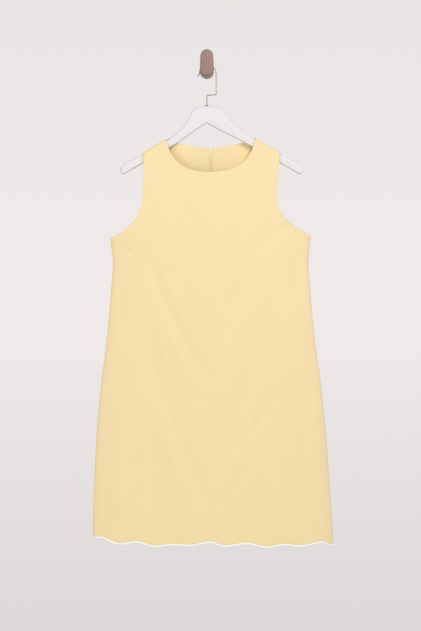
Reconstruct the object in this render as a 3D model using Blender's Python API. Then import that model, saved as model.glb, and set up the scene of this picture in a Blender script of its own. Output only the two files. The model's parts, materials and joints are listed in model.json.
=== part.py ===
"""A sleeveless A-line mini dress on a wooden hanger, hung by a wire hook from a wall peg.

Metres. +Z is up, +X is to the viewer's right and +Y goes into the wall. The origin is the
middle of the peg's back face, which lies on the wall. The dress is cut as a front, two backs,
two back neck facings and a zip, with a piped, scalloped hem. Every cloth wall is a grid of
columns, which run down from the neck, shoulder and armhole, and of rows, which run round.
"""

import math

import bmesh
import bpy
import numpy as np

# Cloth
CLOTH = 0.0013
FACING = 0.0010
TAPE = 0.0009
GAP = 0.0003
HANGER_GAP = 0.0006
PIPING_HALF_HEIGHT = 0.0024
PIPING_HALF_THICKNESS = 0.0016
PIPING_SIDES = 6

# Cut of the dress, measured from its own centre line
SHOULDER_TIP = 0.150
NECK_HALF = 0.0982
FRONT_NECK_DROP = 0.0754
BACK_NECK_DROP = 0.0188
# The front neckline's fullness, how far it flares at the shoulders, and over what angle
NECK_POWER = 2.3
NECK_FLARE = 0.0042
NECK_FLARE_ANGLE = math.radians(28)
UNDERARM_Z = -0.3714
DART_Z = -0.4025
DART_HALF = 0.004
DART_POINT = 0.108
DART_DEPTH = 0.0007
HEM_Z = -1.0440
DRESS_X = 0.0088

# One row for each level: height, half width, depth in front, depth behind, middle y, middle x.
# Above the underarm the half width is that of the curve the chest would follow.
LEVEL_ROWS = (
    (-1.0600, 0.2654, 0.0300, 0.0280, -0.0360, 0.0137),
    (-1.0127, 0.2648, 0.0298, 0.0278, -0.0358, 0.0132),
    (-0.9070, 0.2597, 0.0290, 0.0270, -0.0350, 0.0112),
    (-0.8015, 0.2533, 0.0280, 0.0262, -0.0342, 0.0100),
    (-0.6960, 0.2431, 0.0268, 0.0250, -0.0334, 0.0093),
    (-0.5900, 0.2297, 0.0258, 0.0240, -0.0326, 0.0090),
    (-0.4847, 0.2203, 0.0252, 0.0230, -0.0318, 0.0087),
    (-0.4187, 0.2166, 0.0248, 0.0222, -0.0312, 0.0086),
    (-0.3950, 0.2190, 0.0244, 0.0218, -0.0310, 0.0081),
    (-0.3714, 0.2218, 0.0236, 0.0212, -0.0306, 0.0078),
    (-0.3400, 0.2290, 0.0222, 0.0200, -0.0300, 0.0080),
    (-0.2900, 0.2500, 0.0190, 0.0172, -0.0294, 0.0084),
    (-0.2400, 0.3000, 0.0154, 0.0142, -0.0290, 0.0088),
    (-0.1900, 0.3800, 0.0124, 0.0120, -0.0290, 0.0088),
    (-0.1400, 0.4600, 0.0110, 0.0110, -0.0290, 0.0088),
)
LEVELS, HALF_WIDTHS, FRONT_DEPTHS, BACK_DEPTHS, MIDDLE_YS, MIDDLE_XS = np.array(LEVEL_ROWS).T

# Points that pull the armhole's curve: distance from the centre line, height
LEFT_ARMHOLE = ((0.144, -0.224), (0.151, -0.304), (0.142, -0.331), (0.188, -0.358))
RIGHT_ARMHOLE = ((0.154, -0.233), (0.143, -0.306), (0.107, -0.328), (0.241, -0.368))

# Crests and lows of the scalloped hem from the left seam to the right one: x, z
FRONT_HEM_ROWS = (
    (-0.2490, -1.0320),
    (-0.2380, -1.0289),
    (-0.1904, -1.0427),
    (-0.1549, -1.0375),
    (-0.1124, -1.0469),
    (-0.0721, -1.0426),
    (-0.0403, -1.0447),
    (0.0077, -1.0376),
    (0.0394, -1.0459),
    (0.0852, -1.0401),
    (0.1328, -1.0490),
    (0.1699, -1.0435),
    (0.2059, -1.0469),
    (0.2545, -1.0400),
    (0.2750, -1.0467),
)
BACK_HEM_ROWS = (
    (-0.2490, -1.0320),
    (-0.2220, -1.0420),
    (-0.1800, -1.0372),
    (-0.1380, -1.0462),
    (-0.0940, -1.0418),
    (-0.0520, -1.0478),
    (-0.0120, -1.0402),
    (0.0300, -1.0480),
    (0.0710, -1.0410),
    (0.1120, -1.0484),
    (0.1520, -1.0418),
    (0.1930, -1.0492),
    (0.2300, -1.0430),
    (0.2620, -1.0478),
    (0.2750, -1.0467),
)

# Soft folds: top x, top z, pull sideways at mid height, bottom x, bottom z, half width,
# and rise, which is below zero for a trough
FRONT_FOLDS = (
    (-0.140, -0.384, -0.022, 0.000, -0.690, 0.017, -0.0040),
    (-0.143, -0.480, 0.004, -0.120, -1.040, 0.020, -0.0050),
    (-0.129, -0.590, -0.018, 0.004, -0.985, 0.017, -0.0032),
    (-0.092, -0.560, -0.006, -0.030, -0.715, 0.015, 0.0024),
    (-0.126, -0.340, -0.004, -0.088, -0.410, 0.012, -0.0018),
    (0.092, -0.370, 0.010, 0.044, -0.540, 0.018, -0.0024),
    (0.176, -0.340, -0.004, 0.112, -0.398, 0.013, -0.0020),
    (0.190, -0.392, 0.002, 0.190, -0.500, 0.012, -0.0022),
    (0.116, -0.480, 0.004, 0.022, -0.640, 0.015, 0.0026),
    (0.092, -0.625, 0.006, 0.020, -0.890, 0.020, -0.0036),
    (0.146, -0.690, 0.018, 0.040, -0.850, 0.016, -0.0030),
    (0.168, -0.480, 0.012, 0.140, -0.790, 0.018, 0.0020),
    (0.080, -0.865, 0.004, 0.020, -0.965, 0.014, -0.0024),
    (0.208, -0.660, 0.000, 0.204, -0.960, 0.016, -0.0020),
    (-0.200, -0.640, 0.000, -0.208, -1.040, 0.018, 0.0018),
)
BACK_FOLDS = (
    (-0.150, -0.400, -0.020, -0.050, -0.720, 0.018, -0.0032),
    (-0.120, -0.600, -0.006, -0.095, -1.040, 0.022, -0.0040),
    (-0.190, -0.560, 0.000, -0.200, -1.000, 0.018, -0.0024),
    (-0.070, -0.760, 0.000, -0.048, -1.040, 0.017, 0.0018),
    (0.140, -0.390, 0.018, 0.050, -0.640, 0.018, -0.0030),
    (0.112, -0.560, 0.008, 0.085, -1.030, 0.022, -0.0038),
    (0.180, -0.640, 0.004, 0.188, -1.040, 0.018, -0.0028),
    (0.060, -0.480, 0.004, 0.052, -0.700, 0.015, 0.0016),
)
FOLD_FADE_AT_SEAM = 0.035

# Grid of a half panel. The first interval is split where the cloth turns round the side.
# Above 1, the crowding sets the neck's columns closer together at the shoulder.
COLUMNS = 26
SHOULDER_COLUMNS = 8
NECK_CROWDING = 1.4
COLUMN_STEPS = np.array([0, 0.15, 0.4, *range(1, COLUMNS + 1)])
SEAM_POINTS = int((COLUMN_STEPS <= SHOULDER_COLUMNS).sum())
WRAP_ANGLES = np.radians((0, 22.5, 45, 67.5, 90))
SLOPE_STEP = 0.0001
CHEST_ROWS = (0.15, 0.33, 0.50, 0.63, 0.75, 0.87, 1.0)
SKIRT_LEVELS = (-0.47, -0.54, -0.61, -0.68, -0.75, -0.82, -0.89, -0.96, -1.015)

# Facing and zip
FACING_FIRST_COLUMN = 17
FACING_ROWS = (1, 7)
FACING_SPREAD = 0.45
TAPE_HALF = 0.0037
TAPE_TOP = -0.1865
TAPE_BOTTOM = -0.685
FUNNEL_BOTTOM = -0.1845
FUNNEL_TOP = -0.1700
FUNNEL_HALF = 0.0042

# Slider and pull tab of the zip
SLIDER_Z = -0.1905
SLIDER_WIDTH = 0.0058
SLIDER_LENGTH = 0.0092
SLIDER_THICKNESS = 0.0022
PIN_RADIUS = 0.0008
EYE_RADIUS = 0.0021
EYE_BORE = PIN_RADIUS + GAP
EYE_WIDTH = 0.0024
EAR_THICKNESS = 0.0009
TAB_LENGTH = 0.0114
TAB_WIDTH = 0.0046
TAB_THICKNESS = 0.0013

# Hanger: the top's height at each distance from its middle. The arms' lines cross at
# HANGER_X, and the dome that joins them stands under the hook, at x = 0.
HANGER_X = 0.0105
HANGER_Y = -0.029
HANGER_TOP_ROWS = (
    (0.000, -0.0793),
    (0.015, -0.0806),
    (0.028, -0.0853),
    (0.037, -0.0930),
    (0.044, -0.1040),
    (0.052, -0.1165),
    (0.062, -0.1280),
    (0.075, -0.1390),
    (0.0915, -0.1500),
)
ARM_START = 0.0915
ARM_TOP = -0.0973
ARM_SLOPE = -0.576
HANGER_UNDER = -0.1170
UNDER_SLOPE = -0.592
HANGER_HALF = 0.2010
HANGER_THICKNESS = 0.014
HANGER_LOW_CORNER = 0.0026
HANGER_BOW = 0.015
HANGER_END = 0.010
NOTCHES = (0.0975, 0.1515)
NOTCH_HALF = 0.0022
NOTCH_DEPTH = 0.0030

# How the cloth turns over the hanger's arm
ARM_COSINE = math.cos(math.atan(ARM_SLOPE))
WRAP_DEPTH = 0.0101
WRAP_HEIGHT = WRAP_DEPTH / ARM_COSINE
CLOTH_RISE = (HANGER_GAP + CLOTH) / ARM_COSINE
SHOULDER_REACH = 0.09

# Hook of wire
WIRE_RADIUS = 0.0012
HOOK_RADIUS = 0.0186
HOOK_X = 0.0022
HOOK_TIP = (-0.0206, -0.0136)
HOOK_TIP_BEND = 0.006
HOOK_SIDE_Z = -0.0540
HOOK_STEM_TOP_Z = -0.0560
WIRE_BEND = 0.0022
FERRULE_RADIUS = 0.0040
FERRULE_NECK = 0.0021
FERRULE_HEIGHT = 0.0024

# Wall peg
PEG_RADIUS = 0.0155
PEG_TAPER = 0.92
PEG_SADDLE = 0.0095
PEG_BODY_DEPTH = 0.022
PEG_SADDLE_END = 0.036
PEG_DEPTH = 0.050
PEG_TOP = 0.043
PEG_CHAMFER = 0.0015
PEG_POINTS = 40

# The hook's bend hangs on the peg's saddle with a gap all along it
HOOK_DROP = HOOK_RADIUS - WIRE_RADIUS - GAP - PEG_SADDLE
HOOK_CENTRE_Z = -math.sqrt(HOOK_DROP**2 - HOOK_X**2)


def smooth_step(start, end, value):
    """Rises smoothly from 0 at start to 1 at end."""
    t = np.clip((np.asarray(value, float) - start) / (end - start), 0, 1)
    return t * t * (3 - 2 * t)


def read_curve(places, values, at):
    """The value at a place on a smooth curve through the places' values."""
    slopes = np.gradient(values, places)
    k = np.clip(np.searchsorted(places, at) - 1, 0, len(places) - 2)
    step = places[k + 1] - places[k]
    t = np.clip((at - places[k]) / step, 0, 1)
    start = (1 + 2 * t) * (1 - t) ** 2 * values[k] + t * (1 - t) ** 2 * step * slopes[k]
    end = t * t * (3 - 2 * t) * values[k + 1] + t * t * (t - 1) * step * slopes[k + 1]
    return start + end


def at_level(values, z):
    return read_curve(LEVELS, values, z)


def hanger_top(offset):
    """Height of the hanger's top edge at a distance from its middle."""
    distances, heights = np.array(HANGER_TOP_ROWS).T
    dome = read_curve(distances, heights, np.minimum(offset, ARM_START))
    return np.where(offset < ARM_START, dome, ARM_TOP + ARM_SLOPE * offset)


def hanger_y(x):
    """The arms bow forward, away from the wall, towards their tips."""
    return HANGER_Y - HANGER_BOW * ((x - HANGER_X) / HANGER_HALF) ** 2


def shoulder_z(x):
    """Height of the cloth's outer face where it lies over the hanger's arm."""
    return ARM_TOP + ARM_SLOPE * np.abs(x - HANGER_X) + CLOTH_RISE


def middle_y(x, z):
    """The surface between front and back: the hanger's bow at the top, flat lower down."""
    bow = hanger_y(x) - HANGER_Y
    return at_level(MIDDLE_YS, z) + bow * smooth_step(-0.42, -0.20, z)


def fold_rise(folds, u, z, half_width):
    """How far the soft folds push the cloth out at a point."""
    total = np.zeros_like(u)
    for top_x, top_z, pull, bottom_x, bottom_z, reach, rise in folds:
        along = (top_z - z) / (top_z - bottom_z)
        t = np.clip(along, 0, 1)
        path = top_x + (bottom_x - top_x) * t + pull * 4 * t * (1 - t)
        ends = smooth_step(-0.02, 0.28, along) * (1 - smooth_step(0.80, 1.08, along))
        total = total + rise * ends * np.exp(-(((u - path) / reach) ** 2))
    return total * smooth_step(0, FOLD_FADE_AT_SEAM, half_width - np.abs(u))


def dart_groove(u, z):
    """A shallow crease along the sewn line of each bust dart."""
    across = 1 - np.clip(np.abs(z - DART_Z) / DART_HALF, 0, 1)
    return DART_DEPTH * across * smooth_step(DART_POINT, DART_POINT + 0.03, np.abs(u))


def cloth_y(x, z, face):
    """The outer face of the front (face -1) or of the back (face 1)."""
    u = x - at_level(MIDDLE_XS, z)
    half_width = at_level(HALF_WIDTHS, z)
    round_off = np.sqrt(np.clip(1 - (u / half_width) ** 2, 0, 1))
    if face < 0:
        depth = at_level(FRONT_DEPTHS, z) * round_off
        depth = depth + fold_rise(FRONT_FOLDS, u, z, half_width) - dart_groove(u, z)
    else:
        depth = at_level(BACK_DEPTHS, z) * round_off
        beside_zip = smooth_step(0.012, 0.035, np.abs(u))
        depth = depth + fold_rise(BACK_FOLDS, u, z, half_width) * beside_zip
    below = shoulder_z(x) - z
    turn = 1 - np.clip(below / WRAP_HEIGHT, 0, 1)
    wrap = WRAP_DEPTH * np.sqrt(1 - turn**2)
    depth = wrap + (depth - WRAP_DEPTH) * smooth_step(0, SHOULDER_REACH, below)
    return middle_y(x, z) + face * np.maximum(depth, GAP / 2)


def armhole(side):
    """Evenly spaced points of the armhole, as functions of the fraction of its length."""
    tip_x = DRESS_X + side * SHOULDER_TIP
    under_x = at_level(MIDDLE_XS, UNDERARM_Z) + side * at_level(HALF_WIDTHS, UNDERARM_Z)
    pulls = [(DRESS_X + side * x, z) for x, z in (LEFT_ARMHOLE if side < 0 else RIGHT_ARMHOLE)]
    corners = np.array([(tip_x, shoulder_z(tip_x)), *pulls, (under_x, UNDERARM_Z)])
    t = np.linspace(0, 1, 81)[:, None]
    order = len(corners) - 1
    curve = sum(
        math.comb(order, k) * (1 - t) ** (order - k) * t**k * corner
        for k, corner in enumerate(corners)
    )
    length = np.concatenate([[0], np.cumsum(np.linalg.norm(np.diff(curve, axis=0), axis=1))])
    share = length / length[-1]
    return lambda v: np.array([np.interp(v, share, curve[:, 0]), np.interp(v, share, curve[:, 1])])


def top_edge(side, face):
    """The shoulder seam and the neckline of a half panel, from the shoulder tip inwards.

    The front neckline is a full curve that flares at the shoulders, the back one is shallow.
    """
    along_seam = np.minimum(COLUMN_STEPS / SHOULDER_COLUMNS, 1)
    round_neck = np.clip(
        (COLUMN_STEPS - SHOULDER_COLUMNS) / (COLUMNS - SHOULDER_COLUMNS), 0, 1
    )
    angle = round_neck**NECK_CROWDING * math.pi / 2
    across = np.cos(angle)
    if face < 0:
        flare = NECK_FLARE * (1 - np.clip(angle / NECK_FLARE_ANGLE, 0, 1)) ** 2
        neck_out = (NECK_HALF - NECK_FLARE) * across + flare
        drop = FRONT_NECK_DROP * (1 - across**NECK_POWER) ** (1 / NECK_POWER)
    else:
        neck_out = NECK_HALF * across
        drop = BACK_NECK_DROP * (1 - across**2)
    out = SHOULDER_TIP + (NECK_HALF - SHOULDER_TIP) * along_seam
    x = DRESS_X + side * np.where(round_neck > 0, neck_out, out)
    neck_ends = shoulder_z(DRESS_X + np.array((-1, 1)) * NECK_HALF)
    neck_point = neck_ends[(side + 1) // 2]
    level = neck_point + (neck_ends.mean() - neck_point) * (1 - across)
    z = np.where(round_neck > 0, level - drop, shoulder_z(x))
    return np.stack([x, z], axis=1)


def column_angles(z, depths):
    """Each column's angle round the section at a level, spaced evenly along the cloth."""
    angles = np.linspace(0, math.pi / 2, 241)
    half_width = at_level(HALF_WIDTHS, z)
    depth = at_level(depths, z)
    steps = np.hypot(np.diff(half_width * np.sin(angles)), np.diff(depth * np.cos(angles)))
    share = np.concatenate([[0], np.cumsum(steps)]) / steps.sum()
    return np.interp(1 - COLUMN_STEPS / COLUMNS, share, angles)


def section_row(side, z, angles):
    """The points (x, z) of a row at the given height, or heights."""
    x = at_level(MIDDLE_XS, z) + side * at_level(HALF_WIDTHS, z) * np.sin(angles)
    return np.stack([x, np.broadcast_to(z, x.shape)], axis=1)


def hem_z(hem_rows, xs):
    """Height of the hem, which swings smoothly from each crest to the next low."""
    places, heights = np.array(hem_rows).T
    k = np.clip(np.searchsorted(places, xs) - 1, 0, len(places) - 2)
    swing = smooth_step(places[k], places[k + 1], xs)
    return heights[k] + (heights[k + 1] - heights[k]) * swing


def half_grid(side, face):
    """Outer points of a half panel, as rows from the top, with the outer edge first."""
    depths = FRONT_DEPTHS if face < 0 else BACK_DEPTHS
    top = top_edge(side, face)
    under = section_row(side, UNDERARM_Z, column_angles(UNDERARM_Z, depths))
    arm = armhole(side)
    seam_run = shoulder_z(DRESS_X + side * SHOULDER_TIP) - UNDERARM_Z
    wrap_rows = WRAP_HEIGHT * (1 - np.cos(WRAP_ANGLES)) / seam_run
    toward_edge = ((1 - COLUMN_STEPS / COLUMNS) ** 2)[:, None]
    rows = []
    for v in (*wrap_rows, *CHEST_ROWS):
        plain = (1 - v) * top + v * under
        rows.append(plain + toward_edge * (arm(v) - plain[0]))
    dart_levels = (DART_Z + DART_HALF, DART_Z, DART_Z - DART_HALF) if face < 0 else (DART_Z,)
    for z in (*dart_levels, *SKIRT_LEVELS):
        rows.append(section_row(side, z, column_angles(z, depths)))
    angles = column_angles(HEM_Z, depths)
    hem_rows = FRONT_HEM_ROWS if face < 0 else BACK_HEM_ROWS
    hem = hem_z(hem_rows, section_row(side, HEM_Z, angles)[:, 0])
    rows.append(section_row(side, hem, angles))
    flat = np.array(rows)
    x, z = flat[..., 0], flat[..., 1]
    if face > 0:
        x = x.copy()
        funnel = FUNNEL_HALF * smooth_step(FUNNEL_BOTTOM, FUNNEL_TOP, z[:, -1])
        x[:, -1] += side * (GAP / 2 + funnel)
    return np.stack([x, cloth_y(x, z, face), z], axis=2)


def outward(grid, face, seam_columns):
    """Unit normals of a grid's outer face, level with the seam planes at the seams."""
    x, z = grid[..., 0], grid[..., 2]
    step = SLOPE_STEP
    slope_x = (cloth_y(x + step, z, face) - cloth_y(x - step, z, face)) / (2 * step)
    slope_z = (cloth_y(x, z + step, face) - cloth_y(x, z - step, face)) / (2 * step)
    normals = face * np.stack([-slope_x, np.ones_like(x), -slope_z], axis=2)
    first_side_row = len(WRAP_ANGLES) + len(CHEST_ROWS) - 1
    for column, shoulder, side in seam_columns:
        normals[first_side_row:, column] = (side, 0, 0)
        normals[0, shoulder] = (-ARM_SLOPE * side, 0, 1)
    return normals / np.linalg.norm(normals, axis=2, keepdims=True)


def wall(name, outer, inner, material):
    """A closed wall between two grids of points."""
    rows, columns = outer.shape[:2]
    count = rows * columns
    points = np.concatenate([outer.reshape(-1, 3), inner.reshape(-1, 3)])
    index = np.arange(count).reshape(rows, columns)
    faces = []
    for r in range(rows - 1):
        for c in range(columns - 1):
            quad = (index[r, c], index[r + 1, c], index[r + 1, c + 1], index[r, c + 1])
            faces.append(quad)
            faces.append(tuple(corner + count for corner in reversed(quad)))
    loop = [*index[0, :-1], *index[:-1, -1], *index[-1, :0:-1], *index[:0:-1, 0]]
    for a, b in zip(loop, loop[1:] + loop[:1]):
        faces.append((a, b, b + count, a + count))
    return add_mesh(name, points, faces, material)


def add_mesh(name, points, faces, material, sharp=40):
    mesh = bpy.data.meshes.new(name)
    mesh.from_pydata([tuple(map(float, p)) for p in points], [], [tuple(map(int, f)) for f in faces])
    work = bmesh.new()
    work.from_mesh(mesh)
    bmesh.ops.recalc_face_normals(work, faces=work.faces)
    work.to_mesh(mesh)
    work.free()
    mesh.shade_smooth()
    mesh.set_sharp_from_angle(angle=math.radians(sharp))
    obj = bpy.data.objects.new(name, mesh)
    bpy.context.scene.collection.objects.link(obj)
    obj.data.materials.append(material)
    return obj


def rings(name, ring_points, material, sharp=40):
    """A closed solid from rings of equal count, with a flat cap at each end."""
    count = len(ring_points[0])
    points = [point for ring in ring_points for point in ring]
    faces = [tuple(range(count)), tuple(range(len(points) - count, len(points)))]
    for r in range(len(ring_points) - 1):
        for c in range(count):
            a, b = r * count + c, r * count + (c + 1) % count
            faces.append((a, b, b + count, a + count))
    return add_mesh(name, points, faces, material, sharp)


def make_material(name, colour, roughness, metallic=0.0):
    material = bpy.data.materials.new(name)
    material.use_nodes = True
    shader = material.node_tree.nodes["Principled BSDF"]
    shader.inputs["Base Color"].default_value = (*colour, 1)
    shader.inputs["Roughness"].default_value = roughness
    shader.inputs["Metallic"].default_value = metallic
    material.diffuse_color = (*colour, 1)
    return material


def piping(name, grid, normals, material):
    """An oval cord sewn under the hem, from the panel's hem points moved down."""
    middle = grid[-1] - normals[-1] * CLOTH / 2
    middle = middle - np.array((0, 0, GAP + PIPING_HALF_HEIGHT))
    level = normals[-1] * (1, 1, 0)
    level = level / np.linalg.norm(level, axis=1, keepdims=True)
    turns = np.arange(PIPING_SIDES) / PIPING_SIDES * 2 * math.pi
    sections = [
        [
            point + normal * PIPING_HALF_THICKNESS * math.cos(turn)
            + np.array((0, 0, PIPING_HALF_HEIGHT * math.sin(turn)))
            for turn in turns
        ]
        for point, normal in zip(middle, level)
    ]
    return rings(name, sections, material)


def make_front(cloth, white):
    left, right = half_grid(-1, -1), half_grid(1, -1)
    grid = np.concatenate([left, right[:, -2::-1]], axis=1)
    seam = slice(0, SEAM_POINTS)
    far_seam = slice(-SEAM_POINTS, None)
    normals = outward(grid, -1, ((0, seam, -1), (-1, far_seam, 1)))
    wall("front", grid, grid - normals * CLOTH, cloth)
    piping("piping_front", grid, normals, white)


def make_back(side, word, cloth, white):
    """One back with its facing, and its centre seam's points on the inner face."""
    grid = half_grid(side, 1)
    seam = slice(0, SEAM_POINTS)
    normals = outward(grid, 1, ((0, seam, side),))
    inner = grid - normals * CLOTH
    wall(f"back_{word}", grid, inner, cloth)
    piping(f"piping_back_{word}", grid, normals, white)
    block = (slice(*FACING_ROWS), slice(FACING_FIRST_COLUMN, None))
    outer = (inner - normals * GAP)[block]
    edge = DRESS_X + side * (TAPE_HALF + GAP)
    outer[:, -1, 0] = edge + FACING_SPREAD * (outer[:, -1, 0] - DRESS_X)
    wall(f"facing_{word}", outer, outer - normals[block] * FACING, cloth)
    return inner[:, -1]


def make_tape(seam, material):
    """A flat strip inside the centre back, from the right back's seam points moved in."""
    tops = seam[::-1, 2]
    inside = (tops < TAPE_TOP) & (tops > TAPE_BOTTOM)
    heights = np.array([TAPE_BOTTOM, *tops[inside], TAPE_TOP])
    y = np.interp(heights, tops, seam[::-1, 1]) - GAP
    x = np.interp(heights, tops, seam[::-1, 0]) - GAP / 2
    outer = np.stack([np.stack([x + u, y, heights], axis=1) for u in (-TAPE_HALF, TAPE_HALF)], axis=1)
    wall("zip_tape", outer, outer - np.array((0, TAPE, 0)), material)


def make_box(name, centre, size, material, bevel=0.0):
    work = bmesh.new()
    bmesh.ops.create_cube(work, size=1)
    bmesh.ops.scale(work, vec=size, verts=work.verts)
    bmesh.ops.translate(work, vec=centre, verts=work.verts)
    if bevel:
        bmesh.ops.bevel(
            work, geom=work.edges[:], offset=bevel, segments=2, profile=0.5, affect="EDGES"
        )
    mesh = bpy.data.meshes.new(name)
    work.to_mesh(mesh)
    work.free()
    obj = bpy.data.objects.new(name, mesh)
    obj.data.materials.append(material)
    bpy.context.scene.collection.objects.link(obj)
    return obj


def make_barrel(name, centre, radius, length, material, sides=20):
    """A round bar along X."""
    turns = [k / sides * 2 * math.pi for k in range(sides)]
    sections = [
        [
            (x, centre[1] + radius * math.cos(turn), centre[2] + radius * math.sin(turn))
            for turn in turns
        ]
        for x in (centre[0] - length / 2, centre[0] + length / 2)
    ]
    return rings(name, sections, material)


def combine(target, other, operation):
    """Adds or cuts a helper solid, which stays in the scene as a guide only."""
    modifier = target.modifiers.new(other.name, "BOOLEAN")
    modifier.operation = operation
    modifier.solver = "EXACT"
    modifier.object = other
    other.hide_render = True
    other.display_type = "WIRE"


def make_slider(seat_y, metal):
    """The slider's body on the seam, two ears and the cross pin that the tab turns on."""
    pin = (DRESS_X, seat_y + GAP + SLIDER_THICKNESS + GAP + EYE_RADIUS, SLIDER_Z)
    body_y = seat_y + GAP + SLIDER_THICKNESS / 2
    body = make_box(
        "zip_slider",
        (DRESS_X, body_y, SLIDER_Z),
        (SLIDER_WIDTH, SLIDER_THICKNESS, SLIDER_LENGTH),
        metal,
        bevel=0.0005,
    )
    ear_out = EYE_WIDTH / 2 + GAP + EAR_THICKNESS / 2
    ear_foot = body_y
    for side in (-1, 1):
        ear_x = DRESS_X + side * ear_out
        foot = make_box(
            f"ear_foot_{side}",
            (ear_x, (ear_foot + pin[1]) / 2, SLIDER_Z),
            (EAR_THICKNESS, pin[1] - ear_foot, 2 * EYE_RADIUS * 0.94),
            metal,
        )
        head = make_barrel(
            f"ear_head_{side}", (ear_x, pin[1], pin[2]), EYE_RADIUS, EAR_THICKNESS, metal
        )
        combine(body, foot, "UNION")
        combine(body, head, "UNION")
    cross = make_barrel("cross_pin", pin, PIN_RADIUS, 2 * ear_out, metal, sides=16)
    combine(body, cross, "UNION")
    return pin


def make_tab(pin, metal):
    """The pull tab: an eye round the pin, a neck and a small drop-shaped plate."""
    neck_end = EYE_RADIUS + 2.5 * GAP
    half = TAB_THICKNESS / 2
    outline = (
        (EYE_WIDTH / 2, -EYE_BORE - 0.0004),
        (EYE_WIDTH / 2, -neck_end),
        (TAB_WIDTH * 0.42, -neck_end - 0.0014),
        (TAB_WIDTH * 0.50, -TAB_LENGTH * 0.62),
        (TAB_WIDTH * 0.44, -TAB_LENGTH * 0.82),
        (TAB_WIDTH * 0.26, -TAB_LENGTH * 0.96),
        (0.0, -TAB_LENGTH),
    )
    loop = [*outline, *[(-x, z) for x, z in outline[-2::-1]]]
    sections = [[(x, y, z) for x, z in loop] for y in (-half, half)]
    tab = rings("zip_pull", sections, metal)
    tab.location = pin
    eye = make_barrel("tab_eye", (0, 0, 0), EYE_RADIUS, EYE_WIDTH, metal, sides=24)
    bore = make_barrel("tab_bore", (0, 0, 0), EYE_BORE, EYE_WIDTH * 3, metal, sides=24)
    for helper in (eye, bore):
        helper.location = pin
    combine(tab, eye, "UNION")
    combine(tab, bore, "DIFFERENCE")


def make_hanger(material):
    """Sections along the hanger, from tip to tip: a round top and a flat underside."""
    half = HANGER_THICKNESS / 2
    arm = np.linspace(ARM_START, HANGER_HALF - HANGER_END, 7)[1:]
    notch = [n + step for n in NOTCHES for step in (-NOTCH_HALF, 0, NOTCH_HALF)]
    ends = HANGER_HALF - HANGER_END + HANGER_END * np.sin(np.radians((25, 50, 70, 84)))
    middle = [distance for distance, _ in HANGER_TOP_ROWS]
    offsets = np.unique(np.round([*middle, *arm, *notch, *ends], 5))
    stations = [*-offsets[:0:-1], *offsets]
    arcs = np.radians(np.linspace(0, 180, 7))
    sections = []
    for offset in stations:
        far = abs(offset)
        top = float(hanger_top(far))
        under = HANGER_UNDER + UNDER_SLOPE * far
        top -= NOTCH_DEPTH * any(abs(far - n) < NOTCH_HALF / 2 for n in NOTCHES)
        past = max(0.0, far - (HANGER_HALF - HANGER_END)) / HANGER_END
        shrink = math.sqrt(1 - past**2)
        centre = (top + under) / 2
        tall = (top - under) / 2 * shrink
        thick = half * shrink
        round_top = min(thick, tall)
        corner = min(HANGER_LOW_CORNER * shrink, tall)
        x = offset + HANGER_X * float(smooth_step(0, ARM_START, far))
        y = float(hanger_y(x))
        high = centre + tall - round_top
        low = centre - tall + corner
        upper = [(x, y + thick * math.cos(a), high + round_top * math.sin(a)) for a in arcs]
        lower = [
            (x, y + side * (thick - corner) - corner * math.cos(a), low - corner * math.sin(a))
            for side, corner_arcs in ((-1, arcs[:4]), (1, arcs[3:]))
            for a in corner_arcs
        ]
        sections.append([*upper, *lower])
    rings("hanger", sections, material, sharp=50)


def rounded(corners, radius, steps=5):
    """A path through corners, each turned with an arc that touches both of its sides."""
    path = [corners[0]]
    for before, corner, after in zip(corners, corners[1:], corners[2:]):
        into = (corner - before) / np.linalg.norm(corner - before)
        away = (after - corner) / np.linalg.norm(after - corner)
        half_turn = math.acos(np.clip(into @ away, -1, 1)) / 2
        reach = radius * math.tan(half_turn)
        start = corner - into * reach
        inward = away - into * (into @ away)
        centre = start + inward / np.linalg.norm(inward) * radius
        for k in range(steps + 1):
            angle = 2 * half_turn * k / steps
            unit = inward / np.linalg.norm(inward)
            path.append(centre - unit * radius * math.cos(angle) + into * radius * math.sin(angle))
    path.append(corners[-1])
    return path


def make_hook(metal):
    """Bent wire: a flared tip, the bend over the peg, a side, a step in and a stem."""
    turns = np.radians(np.linspace(180, 0, 21))
    bend = [
        (HOOK_X + HOOK_RADIUS * math.cos(t), HOOK_CENTRE_Z + HOOK_RADIUS * math.sin(t))
        for t in turns
    ]
    ferrule_foot = float(hanger_top(0)) + GAP
    stem_foot = ferrule_foot + FERRULE_HEIGHT + GAP
    corners = [
        np.array(bend[-1]),
        np.array((HOOK_X + HOOK_RADIUS, HOOK_SIDE_Z)),
        np.array((0.0, HOOK_STEM_TOP_Z)),
        np.array((0.0, stem_foot)),
    ]
    flare = [np.array(HOOK_TIP), np.array(bend[0]), np.array(bend[1])]
    path = [*rounded(flare, HOOK_TIP_BEND, 3), *bend[2:-1], *rounded(corners, WIRE_BEND)]
    curve = bpy.data.curves.new("hook_wire", "CURVE")
    curve.dimensions = "3D"
    curve.bevel_depth = WIRE_RADIUS
    curve.bevel_resolution = 2
    curve.use_fill_caps = True
    spline = curve.splines.new("POLY")
    spline.points.add(len(path) - 1)
    for point, (x, z) in zip(spline.points, path):
        point.co = (x, HANGER_Y, z, 1)
    curve.materials.append(metal)
    wire = bpy.data.objects.new("hook_wire", curve)
    bpy.context.scene.collection.objects.link(wire)
    turns = [k / 20 * 2 * math.pi for k in range(20)]
    profile = (
        (FERRULE_RADIUS, 0.0),
        (FERRULE_RADIUS, FERRULE_HEIGHT * 0.35),
        (FERRULE_NECK, FERRULE_HEIGHT),
    )
    sections = [
        [(r * math.cos(t), HANGER_Y + r * math.sin(t), ferrule_foot + height) for t in turns]
        for r, height in profile
    ]
    rings("hook_ferrule", sections, metal)


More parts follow.
